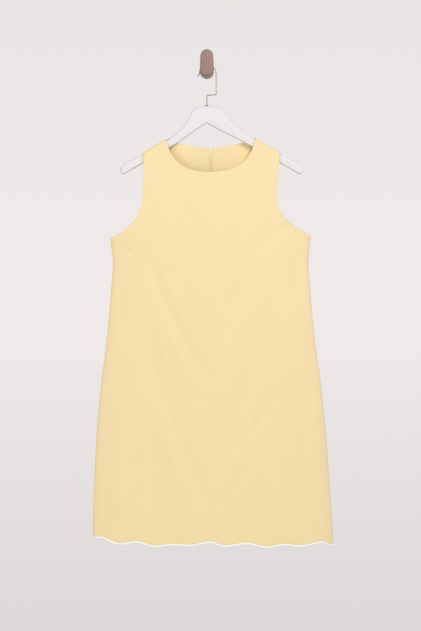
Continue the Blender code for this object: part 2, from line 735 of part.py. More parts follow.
def make_peg(wood):
    """A round body on the wall, a saddle for the hook and a tall, round-ended face."""
    turns = np.arange(PEG_POINTS) / PEG_POINTS * 2 * math.pi

    def disc(radius, y):
        return [(radius * math.cos(t), y, radius * math.sin(t)) for t in turns]

    def face(inset, y):
        """The lower half is a half disc, and the upper half is narrower and stands high."""
        radius = PEG_RADIUS - inset
        rise = PEG_TOP - PEG_RADIUS
        high = [math.sin(t) > 1e-6 for t in turns]
        return [
            (radius * math.cos(t) * (PEG_TAPER if up else 1), y, radius * math.sin(t) + rise * up)
            for t, up in zip(turns, high)
        ]

    sections = [
        disc(PEG_RADIUS - PEG_CHAMFER / 2, 0),
        disc(PEG_RADIUS, -PEG_CHAMFER / 2),
        disc(PEG_RADIUS, -PEG_BODY_DEPTH + PEG_CHAMFER),
        disc(PEG_RADIUS - PEG_CHAMFER, -PEG_BODY_DEPTH),
        disc(PEG_SADDLE, -PEG_BODY_DEPTH),
        disc(PEG_SADDLE, -PEG_SADDLE_END),
        face(PEG_CHAMFER, -PEG_SADDLE_END),
        face(0, -PEG_SADDLE_END - PEG_CHAMFER),
        face(0, -PEG_DEPTH + PEG_CHAMFER),
        face(PEG_CHAMFER, -PEG_DEPTH),
    ]
    rings("wall_peg", sections, wood)


def main():
    for obj in list(bpy.data.objects):
        bpy.data.objects.remove(obj)
    cloth = make_material("butter_yellow_crepe", (0.93, 0.76, 0.41), 0.78)
    white = make_material("white_piping", (0.80, 0.77, 0.74), 0.60)
    tape = make_material("zip_tape_cloth", (0.90, 0.70, 0.34), 0.65)
    tab_metal = make_material("zip_painted_metal", (0.88, 0.70, 0.36), 0.40)
    gold = make_material("gold_wire", (0.83, 0.66, 0.35), 0.28, 1.0)
    paint = make_material("white_lacquered_wood", (0.84, 0.81, 0.77), 0.45)
    wood = make_material("brown_wood", (0.38, 0.25, 0.21), 0.60)
    make_peg(wood)
    make_hook(gold)
    make_hanger(paint)
    make_front(cloth, white)
    make_back(-1, "left", cloth, white)
    seam = make_back(1, "right", cloth, white)
    make_tape(seam, tape)
    seat_y = float(np.interp(SLIDER_Z - SLIDER_LENGTH / 2, seam[::-1, 2], seam[::-1, 1])) + CLOTH
    pin = make_slider(seat_y, tab_metal)
    make_tab(pin, tab_metal)


main()
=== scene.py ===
"""The looks of a sleeveless A-line mini dress, its hanger, wire hook and wall peg.

Metres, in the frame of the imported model: +Z is up, +X is to the viewer's right and +Y goes
into the wall. The cloth follows the solids' own form on a finer grid, with thinner walls,
rolled edges and more creases. The hard pieces are modelled with Blender's operators.
"""

import json
import math

import bmesh
import bpy
import numpy as np
from mathutils import Matrix, Vector


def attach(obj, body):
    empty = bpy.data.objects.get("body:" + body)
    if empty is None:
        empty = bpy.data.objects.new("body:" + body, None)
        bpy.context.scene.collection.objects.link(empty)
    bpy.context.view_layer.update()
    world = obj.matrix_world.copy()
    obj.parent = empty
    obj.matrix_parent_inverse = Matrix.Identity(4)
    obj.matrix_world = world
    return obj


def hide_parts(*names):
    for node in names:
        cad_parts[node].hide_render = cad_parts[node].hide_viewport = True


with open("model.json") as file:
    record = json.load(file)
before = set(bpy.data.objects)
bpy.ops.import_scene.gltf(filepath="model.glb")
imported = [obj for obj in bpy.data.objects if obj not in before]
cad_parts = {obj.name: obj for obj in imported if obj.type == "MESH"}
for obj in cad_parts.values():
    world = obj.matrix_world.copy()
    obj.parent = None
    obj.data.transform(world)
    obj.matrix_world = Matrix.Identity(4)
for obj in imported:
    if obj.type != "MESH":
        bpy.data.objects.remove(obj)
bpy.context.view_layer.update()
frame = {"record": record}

TURN = 2 * math.pi
TINY = 0.00001

# Cloth of the solids, which the shells follow
CLOTH = 0.0013
GAP = 0.0003
SHOULDER_TIP = 0.150
NECK_HALF = 0.0982
FRONT_NECK_DROP = 0.0754
BACK_NECK_DROP = 0.0188
# The front neckline's fullness, how far it flares at the shoulders, and over what angle
NECK_POWER = 2.3
NECK_FLARE = 0.0042
NECK_FLARE_ANGLE = math.radians(28)
UNDERARM_Z = -0.3714
HEM_Z = -1.0440
DRESS_X = 0.0088

# One row for each level: height, half width, depth in front, depth behind, middle y, middle x
LEVEL_ROWS = (
    (-1.0600, 0.2654, 0.0300, 0.0280, -0.0360, 0.0137),
    (-1.0127, 0.2648, 0.0298, 0.0278, -0.0358, 0.0132),
    (-0.9070, 0.2597, 0.0290, 0.0270, -0.0350, 0.0112),
    (-0.8015, 0.2533, 0.0280, 0.0262, -0.0342, 0.0100),
    (-0.6960, 0.2431, 0.0268, 0.0250, -0.0334, 0.0093),
    (-0.5900, 0.2297, 0.0258, 0.0240, -0.0326, 0.0090),
    (-0.4847, 0.2203, 0.0252, 0.0230, -0.0318, 0.0087),
    (-0.4187, 0.2166, 0.0248, 0.0222, -0.0312, 0.0086),
    (-0.3950, 0.2190, 0.0244, 0.0218, -0.0310, 0.0081),
    (-0.3714, 0.2218, 0.0236, 0.0212, -0.0306, 0.0078),
    (-0.3400, 0.2290, 0.0222, 0.0200, -0.0300, 0.0080),
    (-0.2900, 0.2500, 0.0190, 0.0172, -0.0294, 0.0084),
    (-0.2400, 0.3000, 0.0154, 0.0142, -0.0290, 0.0088),
    (-0.1900, 0.3800, 0.0124, 0.0120, -0.0290, 0.0088),
    (-0.1400, 0.4600, 0.0110, 0.0110, -0.0290, 0.0088),
)
LEVELS, HALF_WIDTHS, FRONT_DEPTHS, BACK_DEPTHS, MIDDLE_YS, MIDDLE_XS = np.array(LEVEL_ROWS).T

# Points that pull the armhole's curve: distance from the centre line, height
LEFT_ARMHOLE = ((0.144, -0.224), (0.151, -0.304), (0.142, -0.331), (0.188, -0.358))
RIGHT_ARMHOLE = ((0.154, -0.233), (0.143, -0.306), (0.107, -0.328), (0.241, -0.368))

# Crests and lows of the scalloped hem from the left seam to the right one: x, z
FRONT_HEM_ROWS = (
    (-0.2490, -1.0320),
    (-0.2380, -1.0289),
    (-0.1904, -1.0427),
    (-0.1549, -1.0375),
    (-0.1124, -1.0469),
    (-0.0721, -1.0426),
    (-0.0403, -1.0447),
    (0.0077, -1.0376),
    (0.0394, -1.0459),
    (0.0852, -1.0401),
    (0.1328, -1.0490),
    (0.1699, -1.0435),
    (0.2059, -1.0469),
    (0.2545, -1.0400),
    (0.2750, -1.0467),
)
BACK_HEM_ROWS = (
    (-0.2490, -1.0320),
    (-0.2395, -1.0288),
    (-0.1990, -1.0412),
    (-0.1720, -1.0372),
    (-0.1380, -1.0462),
    (-0.0940, -1.0418),
    (-0.0520, -1.0478),
    (-0.0120, -1.0402),
    (0.0300, -1.0480),
    (0.0710, -1.0410),
    (0.1120, -1.0484),
    (0.1520, -1.0418),
    (0.1980, -1.0484),
    (0.2540, -1.0396),
    (0.2750, -1.0467),
)

# Soft folds: top x, top z, pull sideways at mid height, bottom x, bottom z, half width,
# and rise, which is below zero for a trough
FRONT_FOLDS = (
    (-0.140, -0.384, -0.022, 0.000, -0.690, 0.017, -0.0040),
    (-0.143, -0.480, 0.004, -0.120, -1.040, 0.020, -0.0050),
    (-0.129, -0.590, -0.018, 0.004, -0.985, 0.017, -0.0032),
    (-0.092, -0.560, -0.006, -0.030, -0.715, 0.015, 0.0024),
    (-0.126, -0.340, -0.004, -0.088, -0.410, 0.012, -0.0018),
    (0.092, -0.370, 0.010, 0.044, -0.540, 0.018, -0.0024),
    (0.176, -0.340, -0.004, 0.112, -0.398, 0.013, -0.0020),
    (0.190, -0.392, 0.002, 0.190, -0.500, 0.012, -0.0022),
    (0.116, -0.480, 0.004, 0.022, -0.640, 0.015, 0.0026),
    (0.092, -0.625, 0.006, 0.020, -0.890, 0.020, -0.0036),
    (0.146, -0.690, 0.018, 0.040, -0.850, 0.016, -0.0030),
    (0.168, -0.480, 0.012, 0.140, -0.790, 0.018, 0.0020),
    (0.080, -0.865, 0.004, 0.020, -0.965, 0.014, -0.0024),
    (0.208, -0.660, 0.000, 0.204, -0.960, 0.016, -0.0020),
    (-0.200, -0.640, 0.000, -0.208, -1.040, 0.018, 0.0018),
)
BACK_FOLDS = (
    (-0.150, -0.400, -0.020, -0.050, -0.720, 0.018, -0.0032),
    (-0.120, -0.600, -0.006, -0.095, -1.040, 0.022, -0.0040),
    (-0.190, -0.560, 0.000, -0.200, -1.000, 0.018, -0.0024),
    (-0.070, -0.760, 0.000, -0.048, -1.040, 0.017, 0.0018),
    (0.140, -0.390, 0.018, 0.050, -0.640, 0.018, -0.0030),
    (0.112, -0.560, 0.008, 0.085, -1.030, 0.022, -0.0038),
    (0.180, -0.640, 0.004, 0.188, -1.040, 0.018, -0.0028),
    (0.060, -0.480, 0.004, 0.052, -0.700, 0.015, 0.0016),
)

# Where a fold dies out: beside a side seam, at its own ends as shares of its length, and beside
# the zip
FOLD_FADE_AT_SEAM = 0.035
FOLD_SWELLS = (-0.02, 0.28)
FOLD_DIES = (0.80, 1.08)
FLAT_BESIDE_ZIP = (0.012, 0.035)

# Where the hanger's bow dies out below the shoulders, and how soon the finer creases begin
BOW_HEIGHTS = (-0.42, -0.20)
CREASES_BEGIN = 0.06

# Finer creases that only the shells have, in the same form as the folds
FRONT_CREASES = (
    (-0.196, -0.386, 0.004, -0.160, -0.432, 0.0060, -0.0010),
    (-0.150, -0.236, -0.003, -0.118, -0.330, 0.0080, -0.0012),
    (-0.203, -0.420, 0.000, -0.196, -0.560, 0.0090, -0.0012),
    (-0.060, -0.430, 0.006, -0.020, -0.560, 0.0110, 0.0013),
    (-0.170, -0.700, 0.004, -0.176, -0.900, 0.0110, -0.0014),
    (-0.086, -0.820, 0.004, -0.070, -1.042, 0.0120, 0.0016),
    (-0.030, -0.760, -0.004, -0.022, -1.042, 0.0110, -0.0014),
    (0.040, -0.700, 0.003, 0.052, -1.042, 0.0130, 0.0015),
    (0.112, -0.880, -0.003, 0.118, -1.042, 0.0120, -0.0015),
    (0.148, -0.236, 0.003, 0.124, -0.320, 0.0080, -0.0011),
    (0.150, -0.420, 0.006, 0.126, -0.540, 0.0100, -0.0015),
    (0.205, -0.430, 0.000, 0.198, -0.560, 0.0080, 0.0010),
    (0.176, -0.800, 0.002, 0.170, -1.000, 0.0100, -0.0012),
)
BACK_CREASES = (
    (-0.148, -0.240, -0.003, -0.116, -0.330, 0.0080, -0.0008),
    (-0.090, -0.330, 0.004, -0.060, -0.520, 0.0110, 0.0010),
    (-0.160, -0.740, 0.002, -0.150, -1.030, 0.0110, 0.0010),
    (-0.036, -0.560, 0.002, -0.030, -0.760, 0.0070, -0.0007),
    (0.150, -0.236, 0.003, 0.120, -0.340, 0.0080, -0.0008),
    (0.040, -0.820, -0.002, 0.036, -1.020, 0.0080, -0.0007),
    (0.206, -0.440, 0.000, 0.198, -0.600, 0.0090, -0.0008),
    (0.134, -0.760, 0.003, 0.140, -1.040, 0.0100, 0.0010),
)

# Bust darts: height of the sewn line and of the pressed edge inside, where they end, how they
# slant, and the depth and half width of each crease
DART_Z = -0.4010
DART_EDGE_Z = -0.4090
DART_POINT = 0.104
DART_FADE = 0.035
DART_SLANT = 0.0025
DART_SLANT_RUN = 0.12
DART_GROOVE = 0.0005
DART_GROOVE_HALF = 0.0016
DART_STEP = 0.0003
DART_STEP_HALF = 0.0022

# Slow waves that keep the cloth from looking ironed: length in x, length in z, turn, height
WAVES = (
    (0.190, 0.340, 0.3, 0.00050),
    (-0.130, 0.240, 1.9, 0.00036),
    (0.085, 0.150, 4.2, 0.00020),
    (-0.062, 0.410, 2.6, 0.00016),
    (0.047, 0.071, 5.3, 0.00008),
)

# Grid of a half panel: columns run in from the outer edge, rows down from the shoulder.
# The wall thins from CLOTH at a turned edge to THIN over EDGE_REACH.
COLUMNS = 26
SHOULDER_COLUMNS = 8
SEAM_STEPS = (0, 0.03, 0.08, 0.15, 0.25, 0.4, 0.6, 0.8)
STEP = 0.25
NECK_CROWDING = 1.4
COLUMN_STEPS = np.array([*SEAM_STEPS, *np.arange(1, COLUMNS + STEP / 2, STEP)])
SEAM_POINTS = int((COLUMN_STEPS <= SHOULDER_COLUMNS).sum())
WRAP_ANGLES = np.radians(np.linspace(0, 90, 11))
CHEST_ROWS = 46
UNDERARM_ROW = len(WRAP_ANGLES) + CHEST_ROWS - 1
ROW = 0.006
DART_ROW = 0.0009
DART_ROWS_ABOVE = 0.006
DART_ROWS_BELOW = 0.010
ZIP_COLUMNS = 2
CURVE_POINTS = 401
SECTION_POINTS = 721
HEM_ROWS_TOP = -0.985
HEM_ROWS = 14
SLOPE_STEP = 0.0001
THIN = 0.0009
EDGE_REACH = 0.014

# The line that the turned edge leaves along each armhole
ARM_LINE_IN = 0.0046
ARM_LINE_HALF = 0.0013
ARM_LINE_DEPTH = 0.0010

# Turns of a sheet's rolled rim, and how far it stands out, in half walls, where it isn't free
RIM_TURNS = np.radians((30, 60, 90, 120, 150))
SEAM_ROLL = 0.3
HEM_ROLL = 0.5
TAPE_ROLL = 0.6

# Facing: its first column, how far its zip edge turns away over how many columns, and the
# share of the armhole's height that it reaches down
FACING_FIRST_STEP = 15
FACING_SPREAD = 0.45
FACING_TURN_COLUMNS = 3
FACING_BOTTOM = 0.33
FACING_THICK = 0.0008
# Painted light on the facings: a warmer, brighter colour away from the centre line, in place of light
# that comes through the cloth, and the span over which it fades in
FACING_PAINTED_GLOW = (0.965, 0.765, 0.385)
FACING_PAINTED_GLOW_REACH = (0.030, 0.085)

# Zip tapes and coil, and the funnel by which the back seam opens at the neck
TAPE_INNER = 0.0002
TAPE_HALF = 0.0037
TAPE_COLUMNS = 7
TAPE_TOP = -0.1865
TAPE_BOTTOM = -0.685
TAPE_THICK = 0.0005
# Width of the painted shade along each tape's outer edge
TAPE_EDGE_SHADE_WIDTH = 0.0012
FUNNEL_BOTTOM = -0.1845
FUNNEL_TOP = -0.1700
FUNNEL_HALF = 0.0042
COIL_PITCH = 0.0012
COIL_HALF = 0.0011
COIL_HEIGHT = 0.0004
TOOTH_SIZE = (COIL_HALF * 0.72, COIL_HEIGHT, COIL_PITCH * 0.36)
TOOTH_LEAN = 0.45

# Piping
PIPING_HALF_HEIGHT = 0.0029
PIPING_HALF_THICKNESS = 0.0020
PIPING_SIDES = 12
PIPING_STEP = 0.0013
PIPING_TUCK = 0.0004
PIPING_END = 0.4

# Puckers of the piping: how much they swell, and the turns of their waves for each metre, in
# radians
PUCKER = 0.05
PUCKER_QUICK = 1150
PUCKER_UNEVEN = 1.7
PUCKER_SLOW = 190
SWELL = 0.4 * PUCKER
SWELL_SLOW = 410

# Zip slider and pull tab
SLIDER_WIDTH = 0.0058
SLIDER_LENGTH = 0.0092
SLIDER_THICKNESS = 0.0022
SLIDER_TAIL = (0.74, 0.9, 1)
SLIDER_NOSE = (0.92, 0.9, 1)
SLIDER_RIM = 0.0009
SLIDER_BRIDGE = 0.00018
SLIDER_ROUND = 0.00028
PIN_RADIUS = 0.0008
EYE_RADIUS = 0.0021
EYE_BORE = PIN_RADIUS + GAP
EYE_WIDTH = 0.0024
EAR_THICKNESS = 0.0009
EAR_LENGTH = EYE_RADIUS * 1.88
TAB_LENGTH = 0.0114
TAB_WIDTH = 0.0046
TAB_THICKNESS = 0.0013
TAB_START = EYE_BORE + 0.0004
TAB_NECK_END = EYE_RADIUS + 2.5 * GAP
TAB_RIM = 0.0007
TAB_FIELD = 0.66
TAB_ROUND = 0.00016

# Outline of the pull tab below its neck: share of its width, share of its length
TAB_OUTLINE = ((0.84, 0.16), (1.0, 0.46), (0.94, 0.68), (0.76, 0.86), (0.46, 0.97), (0.22, 1.0))

# Hanger: the arms' lines cross at HANGER_X, and the dome stands under the hook, at x = 0
HANGER_GAP = 0.0006
HANGER_X = 0.0105
HANGER_Y = -0.029
HANGER_TOP_ROWS = (
    (0.000, -0.0793),
    (0.015, -0.0806),
    (0.028, -0.0853),
    (0.037, -0.0930),
    (0.044, -0.1040),
    (0.052, -0.1165),
    (0.062, -0.1280),
    (0.075, -0.1390),
    (0.0915, -0.1500),
)
ARM_START = 0.0915
ARM_TOP = -0.0973
ARM_SLOPE = -0.576
HANGER_UNDER = -0.1170
UNDER_SLOPE = -0.592
HANGER_HALF = 0.2010
HANGER_THICKNESS = 0.014
HANGER_BOW = 0.015
NOTCHES = (0.0975, 0.1515)
NOTCH_RADIUS = 0.0020
NOTCH_RISE = 0.0002
# Painted shade round each notch: its colour, and the distances from the notch's centre where it ends
# and where it is full
NOTCH_PAINTED_SHADE = (0.33, 0.29, 0.27)
NOTCH_PAINTED_SHADE_OUT = NOTCH_RADIUS + 0.0022
NOTCH_PAINTED_SHADE_IN = NOTCH_RADIUS + 0.0006
HANGER_END = 0.010
HANGER_STEP = 0.004
HANGER_ARM_SECTIONS = 12
HANGER_TIP_TURNS = np.radians((15, 30, 45, 58, 70, 80, 86))
HANGER_TOP_ROUND = 0.0069
HANGER_LOW_CORNER = 0.0026
ARM_COSINE = math.cos(math.atan(ARM_SLOPE))
WRAP_DEPTH = 0.0101
WRAP_HEIGHT = WRAP_DEPTH / ARM_COSINE
CLOTH_RISE = (HANGER_GAP + CLOTH) / ARM_COSINE
SHOULDER_REACH = 0.09

# Hook of wire and its collar
WIRE_RADIUS = 0.0012
HOOK_RADIUS = 0.0186
HOOK_X = 0.0022
HOOK_TIP_LENGTH = 0.0050
HOOK_TIP_TURN = math.radians(38)
HOOK_TIP_BEND = 0.005
WIRE_BEND_STEP = 0.0012
HOOK_SIDE_Z = -0.0540
HOOK_STEM_TOP_Z = -0.0560
WIRE_BEND = 0.0022
WIRE_SIDES = 16
WIRE_END_ROUND = WIRE_RADIUS * 0.4
LEAST_BEND_STEPS = 6
FERRULE_RADIUS = 0.0040
FERRULE_NECK = 0.0021
FERRULE_HEIGHT = 0.0024
FERRULE_FLANGE = FERRULE_HEIGHT * 0.4
FERRULE_FOOT = FERRULE_NECK * 1.25
FERRULE_TAPER = 0.8
FERRULE_ROUND = FERRULE_HEIGHT * 0.12

# Wall peg
PEG_RADIUS = 0.0155
PEG_TAPER = 0.92
PEG_SADDLE = 0.0095
PEG_BODY_DEPTH = 0.022
PEG_SADDLE_END = 0.036
PEG_DEPTH = 0.050
PEG_TOP = 0.043
PEG_CHAMFER = 0.0015
PEG_SIDES = 72

# The hook's bend hangs on the peg's saddle with a gap all along it
HOOK_DROP = HOOK_RADIUS - WIRE_RADIUS - GAP - PEG_SADDLE
HOOK_CENTRE_Z = -math.sqrt(HOOK_DROP**2 - HOOK_X**2)

# Widths of one repeat of each pattern
WARP_PITCH = 0.00052
WEFT_PITCH = 0.00058
TWILL_PITCH = 0.0009
RIB_PITCH = 0.0011
RING_PITCH = 0.0052

# Where the painted shade along the peg's rounded edges, the edge of its front face and the paler,
# greyer wood towards the wall come and go
PEG_EDGE_SHADE_PLACES = (PEG_RADIUS - 0.0024, PEG_RADIUS - 0.0012)
PEG_FACE_PLACES = (0.0012 - PEG_DEPTH, 0.0002 - PEG_DEPTH)
PEG_PALE_BACK_PLACES = (0.004 - PEG_DEPTH, 0.009 - PEG_DEPTH)

# Camera and room
CAMERA = (0.0081, -3.35, -0.543)
LENS = 85.6
SENSOR = 36
FLOOR_Z = -1.75
FLOOR_RADIUS = 2.2
FLOOR_FADE = (FLOOR_RADIUS * 0.45, FLOOR_RADIUS * 0.98)
LAMP_AIM = (0.0, -0.03, -0.55)
LAMPS = (
    ("key", (1.2, -2.4, 0.95), 1.2, 45, (1.0, 0.975, 0.97)),
    ("fill", (-1.9, -2.3, -0.5), 2.2, 25, (0.98, 0.98, 1.0)),
    ("behind", (1.6, 2.5, 0.6), 2.2, 42, (1.0, 0.99, 0.98)),
)
SKY_STOPS = (
    (0.29, (0.716, 0.686, 0.679)),
    (0.5, (0.880, 0.831, 0.831)),
    (0.71, (0.820, 0.788, 0.780)),
)
ROOM_BELOW = (0.49, 0.48, 0.48)
ROOM_ABOVE = (0.51, 0.50, 0.50)
ROOM_TURN = (-0.6, 0.6)


class Value:
    """A socket in a node tree. Python's operators on a number's socket add Math nodes."""

    def __init__(self, nodes, socket):
        self.nodes = nodes
        self.socket = socket

    def __add__(self, other):
        return self.nodes.maths("ADD", self, other)

    __radd__ = __add__

    def __sub__(self, other):
        return self.nodes.maths("SUBTRACT", self, other)

    def __rsub__(self, other):
        return self.nodes.maths("SUBTRACT", other, self)

    def __mul__(self, other):
        return self.nodes.maths("MULTIPLY", self, other)

    __rmul__ = __mul__

    def __truediv__(self, other):
        return self.nodes.maths("DIVIDE", self, other)

    def __pow__(self, other):
        return self.nodes.maths("POWER", self, other)

    def sine(self):
        return self.nodes.maths("SINE", self)

    def absolute(self):
        return self.nodes.maths("ABSOLUTE", self)

    def clamped(self, low=0.0, high=1.0):
        return self.nodes.maths("MINIMUM", self.nodes.maths("MAXIMUM", self, low), high)

    def between(self, start, end):
        """0 at start, 1 at end, clamped."""
        return ((self - start) / (end - start)).clamped()


class Nodes:
    """A node tree, to which every call adds a node."""

    def __init__(self, tree):
        self.tree = tree

    def node(self, kind, settings=(), sockets=(), out=0):
        made = self.tree.nodes.new(kind)
        for key, value in dict(settings).items():
            if key == "stops":
                self.set_stops(made.color_ramp, value)
            else:
                setattr(made, key, value)
        for key, value in dict(sockets).items():
            if isinstance(value, Value):
                self.tree.links.new(value.socket, made.inputs[key])
            else:
                made.inputs[key].default_value = value
        return Value(self, made.outputs[out])

    def set_stops(self, ramp, stops):
        while len(ramp.elements) < len(stops):
            ramp.elements.new(1)
        for element, (place, colour) in zip(ramp.elements, stops):
            element.position = place
            element.color = (*colour, 1)

    def maths(self, operation, *values):
        return self.node("ShaderNodeMath", {"operation": operation}, dict(enumerate(values)))

    def mix(self, factor, first, second):
        """A colour between two colours, each a socket or three numbers."""
        first, second = (c if isinstance(c, Value) else (*c, 1) for c in (first, second))
        sockets = {"Factor": factor, 6: first, 7: second}
        return self.node("ShaderNodeMix", {"data_type": "RGBA"}, sockets, out=2)

    def object_point(self):
        return self.node("ShaderNodeTexCoord", out="Object")

    def uv_point(self):
        return self.node("ShaderNodeTexCoord", out="UV")

    def parts(self, vector):
        """The three numbers of a vector."""
        split = self.node("ShaderNodeSeparateXYZ", sockets={0: vector}).socket.node
        return [Value(self, split.outputs[k]) for k in range(3)]

    def scaled(self, vector, by):
        sockets = {0: vector, 1: by}
        return self.node("ShaderNodeVectorMath", {"operation": "MULTIPLY"}, sockets)

    def noise(self, vector, scale, detail=2.0, roughness=0.5, distortion=0.0):
        sockets = {
            "Vector": vector,
            "Scale": scale,
            "Detail": detail,
            "Roughness": roughness,
            "Distortion": distortion,
        }
        return self.node("ShaderNodeTexNoise", sockets=sockets)


class Finish(Nodes):
    """A material. Its constants sit on the shader's own sockets."""

    def __init__(self, name, colour, roughness, **constants):
        self.material = bpy.data.materials.new(name)
        self.material.use_nodes = True
        super().__init__(self.material.node_tree)
        self.shader = self.tree.nodes["Principled BSDF"]
        self.set("Base Color", (*colour, 1))
        self.set("Roughness", roughness)
        for socket, value in constants.items():
            self.set(socket.replace("_", " ").title(), value)
        self.material.diffuse_color = (*colour, 1)

    def set(self, socket, value):
        if isinstance(value, Value):
            self.tree.links.new(value.socket, self.shader.inputs[socket])
        else:
            self.shader.inputs[socket].default_value = value

    def bump(self, height, distance, strength=1.0):
        sockets = {"Height": height, "Distance": distance, "Strength": strength}
        self.set("Normal", self.node("ShaderNodeBump", sockets=sockets))


def crepe(name, painted_glow=None):
    """Butter-yellow crepe: fine pebbled grain, a trace of warp lines, cloudy tint.

    Where asked, a painted glow makes the cloth warmer and brighter away from the centre line: painted
    light in place of light that comes through the cloth.
    """
    finish = Finish(name, (0.86, 0.70, 0.39), 0.82, sheen_weight=0.06)
    finish.set("Sheen Roughness", 0.5)
    finish.set("Specular IOR Level", 0.25)
    cloth = finish.uv_point()
    warp, weft, _ = finish.parts(cloth)
    threads = (warp * (TURN / WARP_PITCH)).sine() * (weft * (TURN / WEFT_PITCH)).sine()
    pebble = finish.noise(cloth, 1100, detail=2, roughness=0.6)
    cloudy = finish.noise(cloth, 9, detail=3)
    slub = finish.noise(finish.scaled(cloth, (420, 26, 1)), 1, detail=2)
    tint = 0.35 * cloudy + 0.35 * slub + 0.30 * pebble
    colour = finish.mix(tint, (0.835, 0.670, 0.365), (0.892, 0.730, 0.412))
    if painted_glow:
        # Painted light: away from the centre line the cloth turns warmer and brighter, in place of
        # light that comes through it
        x, _, _ = finish.parts(finish.object_point())
        corner = (x - DRESS_X).absolute().between(*FACING_PAINTED_GLOW_REACH)
        colour = finish.mix(corner, colour, painted_glow)
    finish.set("Base Color", colour)
    finish.set("Roughness", 0.78 + 0.08 * pebble)
    finish.bump(0.30 * threads + pebble + 0.25 * slub, 0.00009, 0.55)
    return finish.material


def bias_strip():
    """White piping: a bias strip with a fine diagonal twill."""
    finish = Finish("white_piping", (0.89, 0.87, 0.85), 0.6, sheen_weight=0.05)
    strip = finish.uv_point()
    along, round_it, _ = finish.parts(strip)
    twill = ((along + round_it) * (TURN / TWILL_PITCH)).sine()
    fuzz = finish.noise(strip, 900, detail=2)
    soft = finish.noise(strip, 40, detail=2)
    finish.set("Base Color", finish.mix(soft, (0.86, 0.84, 0.82), (0.91, 0.89, 0.87)))
    finish.set("Roughness", 0.55 + 0.12 * fuzz)
    finish.bump(0.5 * twill + fuzz, 0.00008, 0.5)
    return finish.material


def zip_cloth():
    """Woven zip tape: narrow herringbone ribs, and painted shade along each tape's outer edge."""
    finish = Finish("zip_tape_cloth", (0.88, 0.71, 0.39), 0.7)
    place = finish.object_point()
    x, _, z = finish.parts(place)
    ribs = ((z + (x - DRESS_X).absolute()) * (TURN / RIB_PITCH)).sine()
    fuzz = finish.noise(place, 1400, detail=1)
    woven = finish.mix(ribs * 0.5 + 0.5, (0.83, 0.67, 0.36), (0.92, 0.75, 0.42))
    # Painted shade: the tape darkens towards its outer edge, where the facing's turned edge would
    # shade it
    tape_edge_shade = (x - DRESS_X).absolute().between(TAPE_HALF - TAPE_EDGE_SHADE_WIDTH, TAPE_HALF - TAPE_EDGE_SHADE_WIDTH / 4)
    finish.set("Base Color", finish.mix(tape_edge_shade, woven, (0.58, 0.43, 0.19)))
    finish.set("Roughness", 0.66 + 0.1 * fuzz)
    finish.bump(ribs + fuzz, 0.00008, 0.7)
    return finish.material


def coil_yarn():
    """Glossier yarn of the zip's coil and of the stitches."""
    finish = Finish("coil_yarn", (0.88, 0.72, 0.41), 0.42)
    ply = finish.noise(finish.scaled(finish.object_point(), (900, 900, 3200)), 1, detail=1)
    finish.set("Base Color", finish.mix(ply, (0.83, 0.67, 0.36), (0.93, 0.76, 0.44)))
    finish.set("Roughness", 0.36 + 0.14 * ply)
    finish.bump(ply, 0.00005, 0.6)
    return finish.material


def enamel():
    """Painted zip metal, with the paint a little worn on high spots."""
    finish = Finish("zip_enamel", (0.84, 0.66, 0.34), 0.32, coat_weight=0.35)
    place = finish.object_point()
    peel = finish.noise(place, 1500, detail=1)
    wear = finish.noise(place, 620, detail=3).between(0.66, 0.72)
    finish.set("Base Color", finish.mix(wear, (0.84, 0.66, 0.34), (0.62, 0.54, 0.38)))
    finish.set("Roughness", 0.28 + 0.10 * peel + 0.15 * wear)
    finish.bump(peel - 0.8 * wear, 0.00003, 0.6)
    return finish.material


def lacquer():
    """White satin lacquer over wood, with the grain just telegraphing through, and painted shade in a
    ring round each notch.
    """
    finish = Finish("white_lacquered_wood", (0.76, 0.74, 0.74), 0.48, coat_weight=0.10)
    finish.set("Coat Roughness", 0.40)
    place = finish.object_point()
    grain = finish.noise(finish.scaled(place, (22, 260, 260)), 1, detail=4, roughness=0.6)
    smudge = finish.noise(place, 26, detail=3)
    paint = finish.mix(smudge, (0.725, 0.705, 0.705), (0.765, 0.747, 0.747))
    x, _, z = finish.parts(place)
    for far in NOTCHES:
        across = (x - HANGER_X).absolute() - far
        up = z - (ARM_TOP + ARM_SLOPE * far)
        # Painted shade: the lacquer darkens in a ring round each notch, where the notch's inside
        # would lie in shadow
        away = (across * across + up * up) ** 0.5
        shade = away.between(NOTCH_PAINTED_SHADE_OUT, NOTCH_PAINTED_SHADE_IN)
        paint = finish.mix(shade, paint, NOTCH_PAINTED_SHADE)
    finish.set("Base Color", paint)
    finish.set("Roughness", 0.44 + 0.10 * smudge + 0.06 * grain)
    finish.bump(grain, 0.00012, 0.22)
    return finish.material


def gold_wire():
    """Pale gold plated wire with faint drawing lines."""
    finish = Finish("gold_wire", (0.50, 0.43, 0.31), 0.40, metallic=1.0)
    place = finish.object_point()
    drawn = finish.noise(finish.scaled(place, (2600, 2600, 60)), 1, detail=2)
    dull = finish.noise(place, 90, detail=3)
    finish.set("Base Color", finish.mix(dull, (0.46, 0.39, 0.27), (0.54, 0.47, 0.34)))
    finish.set("Roughness", 0.32 + 0.12 * dull + 0.05 * drawn)
    finish.bump(drawn, 0.00001, 0.2)
    return finish.material


